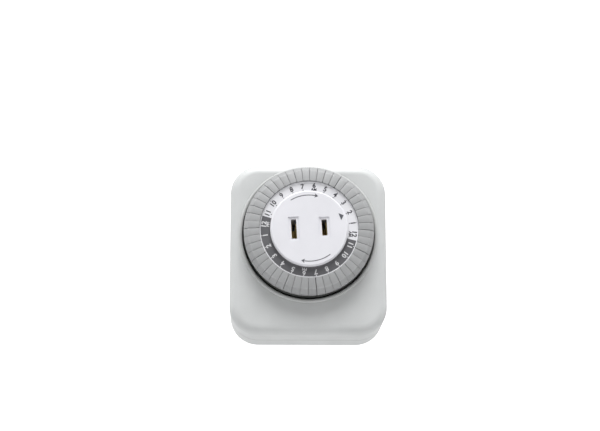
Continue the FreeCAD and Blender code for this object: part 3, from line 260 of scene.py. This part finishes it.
# %% [markdown]
# ## A bead round the dial
# The housing rises in a low round bead along the edge of the dial's well. It is the same kind of
# turned profile, with an arc for its top, and its foot is sunk in the housing.

# %% Bead of the well
low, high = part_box("front_cover")
CASE_FRONT = -low.y / MM
BEAD_RADIUS, BEAD_HALF, BEAD_RISE = 28.75, 0.75, 0.55
BEAD_SINK, BEAD_FOOT = 0.1, 0.4
arc = np.radians(np.linspace(180, 0, 9))
crown = np.stack([BEAD_RADIUS + BEAD_HALF * np.cos(arc), CASE_FRONT - BEAD_SINK + BEAD_RISE * np.sin(arc)], 1)
foot = [(BEAD_RADIUS + BEAD_HALF, CASE_FRONT - BEAD_FOOT), (BEAD_RADIUS - BEAD_HALF, CASE_FRONT - BEAD_FOOT)]
points, faces = turned(np.concatenate([crown, foot]), 144)
bead = mesh_piece("well_bead", points, faces, 60)
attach(bead, "housing")
print("bead stands", round(-points[..., 1].min() / MM - CASE_FRONT, 2), "mm proud")

# %% [markdown]
# ## The printing
# The hours are numbers printed on the ring, with their tops outwards. A number is made as Blender
# text, turned into a mesh, and then each of its points is laid on the ring. Every stroke is a skin
# a few hundredths of a millimetre thick, so it stays visible from the side and in the exported model.

# %% Stamp flat shapes on the front
INK = 0.03


def glyphs(text, height, weight=0.0):
    """A word's outline as flat faces, centred, and scaled until it is as high as asked."""
    curve = bpy.data.curves.new("word", "FONT")
    curve.body = text
    curve.align_x = "CENTER"
    curve.align_y = "CENTER"
    curve.size = height
    curve.offset = weight
    curve.resolution_u = 3
    word = bpy.data.objects.new("word", curve)
    bpy.context.scene.collection.objects.link(word)
    bpy.context.view_layer.update()
    mesh = bpy.data.meshes.new_from_object(word.evaluated_get(bpy.context.evaluated_depsgraph_get()))
    flat = np.zeros(len(mesh.vertices) * 3)
    mesh.vertices.foreach_get("co", flat)
    faces = [tuple(face.vertices) for face in mesh.polygons]
    bpy.data.objects.remove(word)
    bpy.data.curves.remove(curve)
    bpy.data.meshes.remove(mesh)
    flat = flat.reshape(-1, 3)[:, :2]
    flat = flat - (flat.min(0) + flat.max(0)) / 2
    return flat * height / np.ptp(flat[:, 1]), faces


def arc_band(radius, start, end, wide, steps=40):
    """A line along a circle, as one outline: out along the outer edge and back along the inner one."""
    angles = np.linspace(start, end, steps)
    edge = np.concatenate([np.stack([np.full(steps, radius + wide / 2), angles], 1),
                           np.stack([np.full(steps, radius - wide / 2), angles[::-1]], 1)])
    turn = np.radians(edge[:, 1])
    flat = np.stack([edge[:, 0] * np.sin(turn), edge[:, 0] * np.cos(turn)], 1)
    quads = [(n, n + 1, 2 * steps - 2 - n, 2 * steps - 1 - n) for n in range(steps - 1)]
    return flat, quads


def laid(flat, radius, angle):
    """Moves a flat shape to a radius, with its own up pointing outwards along the angle."""
    turn = math.radians(angle)
    across = np.array([math.cos(turn), -math.sin(turn)])
    out = np.array([math.sin(turn), math.cos(turn)])
    return flat[:, :1] * across + (flat[:, 1:] + radius) * out


def stamp(name, shapes, depth, body):
    """Gives flat shapes a skin: the same faces in front and behind, and a wall along each open edge."""
    points, faces = [], []
    for flat, flat_faces in shapes:
        flat_faces = [tuple(face) for face in flat_faces]
        count, start = len(flat), len(points)
        front = np.stack([flat[:, 0], np.full(count, -(depth + INK)), flat[:, 1]], 1)
        back = np.stack([flat[:, 0], np.full(count, -(depth - INK)), flat[:, 1]], 1)
        points += front.tolist() + back.tolist()
        edges = {(a, b) for face in flat_faces for a, b in zip(face, face[1:] + face[:1])}
        walls = [(b, a, a + count, b + count) for a, b in edges if (b, a) not in edges]
        whole = flat_faces + [tuple(n + count for n in face[::-1]) for face in flat_faces] + walls
        faces += [tuple(n + start for n in face) for face in whole]
    made = mesh_piece(name, np.asarray(points) * MM, faces, 20)
    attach(made, body)
    return made


dot = np.stack([np.sin(np.linspace(0, 2 * np.pi, 12, endpoint=False)),
                np.cos(np.linspace(0, 2 * np.pi, 12, endpoint=False))], 1)
print("the number 12 has", len(glyphs("12", 2.0)[0]), "points")

# %% [markdown]
# ## Hours on the ring
# The hours run anticlockwise, since the dial turns clockwise past the pointer. The day half is dark
# ink on white, and the night half light ink on dark. A tick or a dot marks each hour's exact place.

# %% Numbers, ticks and dots
SIX = 6.5
HOURS = 24
NIGHT_START, NIGHT_END = 97, 277
HOUR_SIZE, HALF_SIZE = (2.15, 0.07), (1.2, 0.045)
HOUR_RADIUS, DAY_SHIFT, SIX_RADIUS, HALF_RADIUS = 18.35, 0.15, 18.95, 17.2
DOT, DOT_RADIUS, TICK, TICK_RADIUS, DAY_DOT_RADIUS = 0.22, 19.85, (0.11, 0.25), 19.9, 16.95
disc_face = [tuple(range(len(dot)))[::-1]]
day, night = [], []
for step in range(HOURS):
    angle = SIX + 360 / HOURS * step
    hour = (6 - step - 1) % 12 + 1
    light = NIGHT_START < angle - SIX < NIGHT_END
    shapes = night if light else day
    flat, faces = glyphs(str(hour), *HOUR_SIZE)
    noon = hour in (6, 12)
    shapes.append((laid(flat, SIX_RADIUS if noon else HOUR_RADIUS + DAY_SHIFT * (not light), angle), faces))
    if noon:
        flat, faces = glyphs("AM" if step in (0, 6) else "PM", *HALF_SIZE)
        shapes.append((laid(flat, HALF_RADIUS, angle), faces))
    elif light:
        shapes.append((laid(dot * DOT, DOT_RADIUS, angle), disc_face))
    else:
        shapes.append((laid(dot * np.array(TICK), TICK_RADIUS, angle), disc_face))
        shapes.append((laid(dot * DOT, DAY_DOT_RADIUS, angle), disc_face))
day_print = stamp("hours_day_print", day, FIELD, "dial")
night_print = stamp("hours_night_print", night, FIELD, "dial")
print("day shapes:", len(day), "night shapes:", len(night))

# %% [markdown]
# ## Arrows and pointer on the outlet face
# The fixed face carries two curved arrows that say which way the dial turns, and a triangle that
# points at the present hour. They are arcs and triangles in the same thin skin as the numbers.

# %% Arrows and pointer
ARROW, LINE, BARB_ROOM = 14.1, 0.34, 1.2
POINTER_RADIUS, POINTER_ANGLE = 14.45, 69.0


def arrow(start, end, head):
    """An arc of a circle, then a barbed triangle whose tip lies further along the same circle."""
    flat, faces = arc_band(ARROW, start, head + BARB_ROOM, LINE)
    barb = np.array([(-0.7, 0.9), (-0.4, 0.0), (-0.7, -0.9), (0.8, 0.0)])
    return [(flat, faces), (laid(barb, ARROW, (head + end) / 2), [(0, 1, 3), (1, 2, 3)])]


pointer = np.array([(-1.6, -0.85), (1.6, -0.85), (0.0, 0.85)])
marks = arrow(-33.1, 14.75, 9.4) + arrow(141.9, 193.75, 187.5)
marks.append((laid(pointer, POINTER_RADIUS, POINTER_ANGLE), [(0, 1, 2)]))
face_print = stamp("outlet_face_print", marks, FACE_FRONT, "housing")
print("marks on the face:", len(marks))

# %% [markdown]
# ## Marks beside the override slider
# On the side wall the slider has two positions: always on, or left to the dial. The real marks aren't
# in the photograph, so these are generic: the word ON, and a plain clock with two hands.

# %% Slider marks
SIDE_X = 33.0
MARK_REACH, MARK_SHIFT = 8.3, 0.4
CLOCK, CLOCK_LINE, HAND, LONG_HAND, SHORT_HAND = 1.35, 0.26, 0.12, 0.95, 0.75
slider_low, slider_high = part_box("override_slider")
slider_y = (slider_low.y + slider_high.y) / 2 / MM
slider_z = (slider_low.z + slider_high.z) / 2 / MM


def on_side(name, shapes, centre_z):
    """Stamps shapes on the right side wall: across runs along plus y, up stays up."""
    made = stamp(name, shapes, 0.0, "housing")
    points = np.zeros(len(made.data.vertices) * 3)
    made.data.vertices.foreach_get("co", points)
    x, y, z = points.reshape(-1, 3).T
    moved = np.stack([SIDE_X * MM - y, x + (slider_y + MARK_SHIFT) * MM, z + centre_z * MM], 1)
    made.data.vertices.foreach_set("co", moved.astype(np.float32).ravel())
    made.data.update()
    return made


def hand(across, upward):
    """A clock hand: a bar from just behind the middle to the given reach."""
    return np.array([(-HAND, -HAND), (-HAND, upward), (across, upward), (across, -HAND)]), [(3, 2, 1, 0)]


clock_rim = arc_band(CLOCK, 0, 359.9, CLOCK_LINE)
word_on = glyphs("ON", 1.7, 0.05)
on_mark = on_side("slider_on_mark", [word_on], slider_z + MARK_REACH)
clock_mark = on_side("slider_clock_mark", [clock_rim, hand(HAND, LONG_HAND), hand(SHORT_HAND, HAND)],
                     slider_z - MARK_REACH)
print("slider at", slider_y, slider_z)

# %% [markdown]
# ## The motor's winding
# The coil inside the motor is some thousands of turns of fine enamelled wire. Only the outermost
# layer could ever be seen, so the winding is one turned profile whose outer side has a small arch
# for each turn of wire.

# %% Wound coil
coil_low, coil_high = (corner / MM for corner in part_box("coil_winding"))
coil_centre = ((coil_low.x + coil_high.x) / 2, (coil_low.z + coil_high.z) / 2)
coil_outer = (coil_high.x - coil_low.x) / 2
coil_inner, wire = 8.45, 0.3
depths = np.linspace(-coil_high.y, -coil_low.y, 161)
arch = np.abs(np.sin(np.pi * (depths - depths[0]) / wire))
outside = np.stack([coil_outer - wire / 2 + wire / 2 * arch, depths], 1)
profile = np.concatenate([outside, [(coil_inner, depths[-1]), (coil_inner, depths[0])]])
points, faces = turned(profile, 96)
points = points + np.array([coil_centre[0], 0, coil_centre[1]]) * MM
winding = mesh_piece("coil_wound", points, faces, 70)
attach(winding, "housing")
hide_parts("coil_winding")
print("coil at", coil_centre, "radius", coil_outer, "faces", len(winding.data.polygons))

# %% [markdown]
# ## Finishes as formulas
# A finish is a small net of nodes. To keep it readable, a signal from a node can be added,
# multiplied and compared like a number, and each operation adds its own Math node. Every other node
# comes from one method that takes the node's type, its settings and its sockets.

# %% Signals and finishes


class Signal:
    """One output of a node, which can be used in a formula."""

    def __init__(self, finish, socket):
        self.finish, self.socket = finish, socket

    def maths(self, operation, *terms):
        return self.finish.node("ShaderNodeMath", {"operation": operation}, dict(enumerate(terms)))

    def __add__(self, other):
        return self.maths("ADD", self, other)

    def __radd__(self, other):
        return self.maths("ADD", other, self)

    def __sub__(self, other):
        return self.maths("SUBTRACT", self, other)

    def __rsub__(self, other):
        return self.maths("SUBTRACT", other, self)

    def __mul__(self, other):
        return self.maths("MULTIPLY", self, other)

    def __truediv__(self, other):
        return self.maths("DIVIDE", self, other)

    def __gt__(self, other):
        return self.maths("GREATER_THAN", self, other)

    def __lt__(self, other):
        return self.maths("LESS_THAN", self, other)

    def power(self, exponent):
        return self.maths("POWER", self, exponent)

    def absolute(self):
        return self.maths("ABSOLUTE", self)

    def floor(self):
        return self.maths("FLOOR", self)

    def clamped(self):
        return self.finish.node("ShaderNodeClamp", {}, {0: self})


class Finish:
    """A material whose nodes read the place on the object, in metres."""

    def __init__(self, name, **constants):
        self.material = bpy.data.materials.new(name)
        self.material.use_nodes = True
        self.tree = self.material.node_tree
        self.shader = self.tree.nodes["Principled BSDF"]
        self.place = self.node("ShaderNodeTexCoord", {}, {}, "Object")
        for socket, value in constants.items():
            self.shader.inputs[socket.replace("_", " ")].default_value = value

    def node(self, kind, settings, sockets, output=0):
        made = self.tree.nodes.new(kind)
        for name, value in settings.items():
            if name == "stops":
                ends = (made.color_ramp.elements[0], made.color_ramp.elements[-1])
                for stop, (position, shade) in zip(ends, value):
                    stop.position, stop.color = position, shade
            else:
                setattr(made, name, value)
        for name, value in sockets.items():
            if isinstance(value, Signal):
                self.tree.links.new(value.socket, made.inputs[name])
            else:
                made.inputs[name].default_value = value
        return Signal(self, made.outputs[output])

    def feed(self, **signals):
        for socket, signal in signals.items():
            self.tree.links.new(signal.socket, self.shader.inputs[socket.replace("_", " ")])
        return self

    def noise(self, scale, detail=2.0, stretch=(1.0, 1.0, 1.0)):
        place = self.node("ShaderNodeMapping", {}, {"Vector": self.place, "Scale": stretch})
        return self.node("ShaderNodeTexNoise", {}, {"Vector": place, "Scale": scale, "Detail": detail}, 0)

    def axis(self, letter):
        return self.node("ShaderNodeSeparateXYZ", {}, {0: self.place}, letter)

    def ramp(self, signal, start, end):
        black, white = (0, 0, 0, 1), (1, 1, 1, 1)
        return self.node("ShaderNodeValToRGB", {"stops": ((start, black), (end, white))}, {0: signal})

    def blend(self, factor, first, second):
        return self.node("ShaderNodeMix", {"data_type": "RGBA"}, {0: factor, 6: first, 7: second}, 2)

    def bump(self, height, strength, distance):
        return self.node("ShaderNodeBump", {}, {"Height": height, "Strength": strength, "Distance": distance},
                         "Normal")


def tone(red, green, blue):
    """A colour as seen, 0 to 255, as the light it stands for: the share to the power 2.2."""
    return (*((np.array([red, green, blue]) / 255) ** 2.2).tolist(), 1.0)


print("a light grey as light:", tone(220, 220, 220))

# %% [markdown]
# ## Moulded plastics
# Every plastic piece has a skin from its steel mould: a fine spark texture a fifth of a millimetre
# wide, a slow drift of shade where the melt cooled unevenly, and a few scuffs that shine less. The
# three are noises of very different scale, so one recipe serves all plastics with other numbers.

# %% Plastics


def plastic(name, colour, other, roughness=0.42, grain=0.25):
    finish = Finish(name, IOR=1.49, Specular_IOR_Level=0.5)
    drift = finish.noise(90.0, 3.0)
    speck = finish.noise(3200.0, 2.0)
    scuff = finish.ramp(finish.noise(420.0, 5.0, (1.0, 1.0, 0.35)), 0.56, 0.72)
    shade = finish.blend(finish.ramp(drift * 0.75 + speck * 0.25, 0.3, 0.7), tone(*colour), tone(*other))
    finish.feed(Base_Color=shade, Roughness=(roughness - 0.05 + drift * 0.1 + scuff * 0.09).clamped(),
                Normal=finish.bump(speck + scuff * 0.3, grain, 0.00003))
    return finish.material


FINISHES = {
    "outlet_white": plastic("outlet_face_plastic", (224, 224, 229), (217, 217, 222), 0.3, 0.08),
    "chassis": plastic("chassis_plastic", (196, 197, 194), (184, 186, 183), 0.5),
    "bobbin": plastic("bobbin_nylon", (214, 210, 196), (200, 196, 182), 0.45),
    "lead": plastic("lead_insulation", (205, 205, 200), (190, 190, 186), 0.5, 0.1),
    "train_gear": plastic("gear_acetal", (222, 220, 210), (210, 208, 198), 0.32, 0.1),
    "lever": plastic("lever_acetal", (214, 210, 196), (202, 198, 184), 0.35, 0.1),
    "slider": plastic("slider_plastic", (92, 94, 97), (82, 84, 87), 0.42),
    "drum": plastic("dial_plastic", (84, 86, 84), (74, 76, 75), 0.45),
}
print("plastics:", len(FINISHES))

# %% [markdown]
# ## The housing
# The housing is a cool pale grey. Besides the mould's skin it has painted shade: a slightly darker line
# where the two covers meet, and a darker ring in the corner round the dial, part dust and part painted shade.

# %% Housing plastic
housing = Finish("housing_plastic", IOR=1.49, Specular_IOR_Level=0.5)
drift, speck = housing.noise(70.0, 3.0), housing.noise(3600.0, 2.0)
SEAM, SEAM_HALF = -0.014, 0.00045
WELL, WELL_BAND_HALF, FRONT = 0.0285, 0.0016, -0.029
# Painted shade: the seam where the two covers meet is made darker.
seam_shade = 1.0 - ((housing.axis("Y") - SEAM).absolute() / SEAM_HALF).clamped()
across, upward = housing.axis("X"), housing.axis("Z")
reach = (across * across + upward * upward).power(0.5)
# Dust and painted shade: a ring in the corner round the dial, in front, is made unevenly darker.
near_well = 1.0 - ((reach - WELL).absolute() / WELL_BAND_HALF).clamped()
well_dust_and_shade = near_well * (0.4 + drift) * (housing.axis("Y") < FRONT)
painted_shade_and_dust = (seam_shade * 0.8 + well_dust_and_shade * 0.35).clamped()
patch = housing.ramp(drift * 0.8 + speck * 0.2, 0.3, 0.7)
clean = housing.blend(patch, tone(203, 205, 205), tone(195, 197, 197))
# The dark grey blended in here is painted shade in the seam, and dust and painted shade round the dial.
housing.feed(Base_Color=housing.blend(painted_shade_and_dust, clean, tone(122, 121, 116)),
             Roughness=(0.36 + drift * 0.14 + painted_shade_and_dust * 0.2).clamped(),
             Normal=housing.bump(speck, 0.22, 0.00003))
FINISHES["housing"] = housing.material
print("housing nodes:", len(housing.tree.nodes))

# %% [markdown]
# ## The pins' plastic
# The pins come out of a mould with many places, so neighbours differ by a shade. The clock angle,
# divided by the pin's pitch and cut to a whole number, picks one random shade for each pin. Fingers
# have polished the ridge where the slope begins, so it is less rough there; its lighter colour is a painted
# sheen.

# %% Pin plastic
pin = Finish("pin_plastic", IOR=1.49, Specular_IOR_Level=0.45)
drift, speck = pin.noise(120.0, 3.0), pin.noise(3400.0, 2.0)
across, upward = pin.axis("X"), pin.axis("Z")
clock = pin.node("ShaderNodeMath", {"operation": "ARCTAN2"}, {0: across, 1: upward}) * (180 / math.pi)
number = ((clock - FIRST + 360.0) / PITCH).floor()
lot = pin.node("ShaderNodeTexWhiteNoise", {"noise_dimensions": "1D"}, {"W": number}, "Value")
reach = (across * across + upward * upward).power(0.5)
POLISHED, POLISHED_HALF = 0.0253, 0.0005
# The ridge is polished, so it is less rough, and its colour is painted lighter as a painted sheen.
ridge_polish_and_sheen = (1.0 - ((reach - POLISHED).absolute() / POLISHED_HALF).clamped()) * pin.ramp(drift, 0.35, 0.65)
shade = pin.blend((lot * 0.6 + drift * 0.4).clamped(), tone(160, 161, 162), tone(151, 152, 153))
# Painted sheen: the polished ridge is blended towards a lighter grey.
pin.feed(Base_Color=pin.blend(ridge_polish_and_sheen * 0.35, shade, tone(186, 188, 189)),
         Roughness=(0.4 + drift * 0.12 - ridge_polish_and_sheen * 0.12).clamped(), Normal=pin.bump(speck, 0.2, 0.00003))
FINISHES["pin"] = pin.material
print("pin nodes:", len(pin.tree.nodes))

# %% [markdown]
# ## The ring's two halves
# Day hours are white and night hours dark. The ink changes at two clock angles. The formula takes
# the clock angle and asks whether it lies past either of them.

# %% Printed ring
ring = Finish("ring_two_tone", IOR=1.49, Specular_IOR_Level=0.5)
drift, speck = ring.noise(150.0, 3.0), ring.noise(4200.0, 2.0)
across, upward = ring.axis("X"), ring.axis("Z")
clock = ring.node("ShaderNodeMath", {"operation": "ARCTAN2"}, {0: across, 1: upward}) * (180 / math.pi)
DUSK, DAWN, PRINT_EDGE = 103.9, -73.7, 0.0202
dark = ((clock > DUSK) + (clock < DAWN)).clamped()
reach = (across * across + upward * upward).power(0.5)
printed = dark * (reach < PRINT_EDGE)
white = ring.blend(ring.ramp(drift, 0.3, 0.7), tone(226, 226, 229), tone(219, 219, 223))
night_ink = ring.blend(ring.ramp(drift, 0.3, 0.7), tone(98, 98, 101), tone(90, 90, 93))
ring.feed(Base_Color=ring.blend(printed, white, night_ink),
          Roughness=(0.3 + drift * 0.1 + printed * 0.08).clamped(),
          Normal=ring.bump(speck, 0.08, 0.00002))
FINISHES["ring"] = ring.material
print("ring nodes:", len(ring.tree.nodes))


def ink(name, colour, thin):
    """Pad printed ink: solid, with small worn places where the plastic below shows through."""
    finish = Finish(name, IOR=1.5, Specular_IOR_Level=0.35)
    worn = finish.ramp(finish.noise(2600.0, 4.0), 0.52, 0.75)
    finish.feed(Base_Color=finish.blend(worn * 0.45, tone(*colour), tone(*thin)),
                Roughness=(0.4 + worn * 0.15).clamped(), Normal=finish.bump(worn, 0.1, 0.00001))
    return finish.material


day_ink = ink("day_numbers_ink", (70, 70, 75), (120, 120, 124))
night_number_ink = ink("night_numbers_ink", (212, 212, 214), (170, 170, 173))
pointer_ink = ink("pointer_ink", (88, 89, 94), (130, 130, 134))
mark_ink = ink("slider_mark_ink", (96, 97, 100), (128, 129, 132))

# %% [markdown]
# ## Metals
# Brass, steel and copper differ in colour, but all are rolled or drawn. Stretched noise gives the
# fine lines along the piece, and a slower noise gives tarnish, which is darker and less shiny.

# %% Metals


def metal(name, colour, tarnish, roughness, stretch, line=0.3):
    finish = Finish(name, Metallic=1.0)
    lines = finish.noise(900.0, 4.0, stretch)
    stain = finish.ramp(finish.noise(520.0, 5.0), 0.42, 0.8)
    shade = finish.blend((stain * 0.4 + lines * 0.3).clamped(), tone(*colour), tone(*tarnish))
    finish.feed(Base_Color=shade, Roughness=(roughness + stain * 0.12 + lines * 0.12).clamped(),
                Normal=finish.bump(lines, line, 0.00002))
    return finish.material


FINISHES["brass"] = metal("blade_brass", (220, 196, 136), (188, 158, 100), 0.22, (4.0, 0.25, 4.0))
FINISHES["screw_steel"] = metal("screw_steel", (196, 198, 200), (140, 138, 134), 0.25, (3.0, 0.4, 3.0))
FINISHES["motor_steel"] = metal("motor_steel", (182, 184, 182), (130, 130, 124), 0.3, (1.0, 4.0, 1.0))
FINISHES["magnet"] = metal("magnet_ferrite", (92, 92, 94), (70, 68, 66), 0.5, (1.0, 3.0, 1.0))
FINISHES["spring_steel"] = metal("spring_steel", (190, 191, 193), (150, 148, 144), 0.2, (2.0, 2.0, 2.0))
FINISHES["copper"] = metal("enamelled_copper", (196, 122, 78), (142, 76, 44), 0.25, (1.0, 1.0, 1.0), 0.1)
print("finishes:", len(FINISHES))

# %% [markdown]
# ## Dress every piece
# Each CAD piece names the finish of its material slot. The record says which, so one loop dresses
# them all, and the new pieces get theirs by name.

# %% Give each piece its finish
slot_of = {part["node"]: part["material_slot"] for part in frame["record"]["subparts"]}
for label, shape in nodes.items():
    for holder in shape.material_slots:
        holder.material = FINISHES[slot_of[label]]
dressed = [(piece, FINISHES["pin"]) for piece in pin_pieces]
dressed += [(bead, FINISHES["housing"]), (hour_ring, FINISHES["ring"]), (winding, FINISHES["copper"]),
            (day_print, day_ink), (night_print, night_number_ink), (face_print, pointer_ink),
            (on_mark, mark_ink), (clock_mark, mark_ink)]
for piece, material in dressed:
    piece.data.materials.append(material)
print("dressed:", len(nodes), "CAD pieces and", len(dressed), "new ones")

# %% [markdown]
# ## Studio
# The timer is photographed from slightly below, on white. A broad lamp above the front gives most
# of the light, so that what leans back is bright and what leans forward is darker. A pale backdrop
# glows behind, and a pale floor lies well below.

# %% Floor, backdrop, lamps


def flat_sheet(name, corners, colour, glow):
    mesh = bpy.data.meshes.new(name)
    mesh.from_pydata(corners, [], [(0, 1, 2, 3)])
    sheet = bpy.data.objects.new(name, mesh)
    bpy.context.scene.collection.objects.link(sheet)
    paint = Finish(name + "_paint", Roughness=0.8, Emission_Strength=glow, Emission_Color=(1, 1, 1, 1))
    paint.feed(Base_Color=paint.blend(paint.noise(2.0), tone(*colour), tone(*(c - 4 for c in colour))))
    mesh.materials.append(paint.material)


FLOOR, HALF, BEHIND = -0.2, 4, 2.5
flat_sheet("floor", [(-HALF, -HALF, FLOOR), (HALF, -HALF, FLOOR), (HALF, HALF, FLOOR), (-HALF, HALF, FLOOR)],
           (205, 205, 205), 0.0)
flat_sheet("backdrop", [(-HALF, BEHIND, FLOOR), (HALF, BEHIND, FLOOR), (HALF, BEHIND, HALF),
                        (-HALF, BEHIND, HALF)], (250, 250, 250), 0.9)


def lamp(name, place, power):
    """A square lamp that faces the middle of the scene."""
    light = bpy.data.lights.new(name, "AREA")
    light.shape, light.size, light.energy = "SQUARE", 0.8, power
    made = bpy.data.objects.new(name, light)
    bpy.context.scene.collection.objects.link(made)
    made.location = place
    made.rotation_euler = (-Vector(place)).to_track_quat("-Z", "Y").to_euler()
    return made


lamps = [lamp("top_lamp", (0.0, -0.5, 1.0), 19.0), lamp("left_lamp", (-1.0, 0.1, 0.2), 2.6),
         lamp("right_lamp", (1.0, 0.1, 0.2), 1.8)]
bpy.context.scene.view_settings.view_transform = "Standard"
world = bpy.data.worlds.new("studio")
bpy.context.scene.world = world
world.use_nodes = True
world.node_tree.nodes["Background"].inputs["Color"].default_value = (1.0, 1.0, 1.0, 1.0)
world.node_tree.nodes["Background"].inputs["Strength"].default_value = 0.3
print("lamps:", len(lamps))

# %% [markdown]
# ## Camera
# The view is from 600 mm away, a little below the dial and a hair to its left. FOCAL is the number
# of pixels that a thing as wide as its own distance takes up, and it gives the lens. The picture
# sits off centre by PUSH_LEFT and PUSH_UP pixels.

# %% Camera
AZIMUTH, ELEVATION, DISTANCE = -1.5, -14.3, 0.6
WIDE, FOCAL, SENSOR = 600, 1446.0, 36.0
PUSH_LEFT, PUSH_UP, DIAL_FRONT = 9.2, 13.0, -0.0395
turn, lift = math.radians(AZIMUTH), math.radians(ELEVATION)
back = Vector((math.sin(turn) * math.cos(lift), -math.cos(turn) * math.cos(lift), math.sin(lift)))
right = Vector((math.cos(turn), math.sin(turn), 0.0))
above = right.cross(-back)
aim = Vector((0.0, DIAL_FRONT, 0.0))
aim = aim - right * (PUSH_LEFT / FOCAL * DISTANCE) + above * (PUSH_UP / FOCAL * DISTANCE)
lens = bpy.data.cameras.new("camera")
lens.sensor_width = SENSOR
lens.lens = SENSOR * FOCAL / WIDE
lens.clip_start, lens.clip_end = 0.01, 50.0
camera = bpy.data.objects.new("camera", lens)
bpy.context.scene.collection.objects.link(camera)
camera.location = aim + back * DISTANCE
camera.rotation_mode = "QUATERNION"
camera.rotation_quaternion = (-back).to_track_quat("-Z", "Y")
bpy.context.scene.camera = camera
print("lens", lens.lens, "camera", tuple(camera.location))
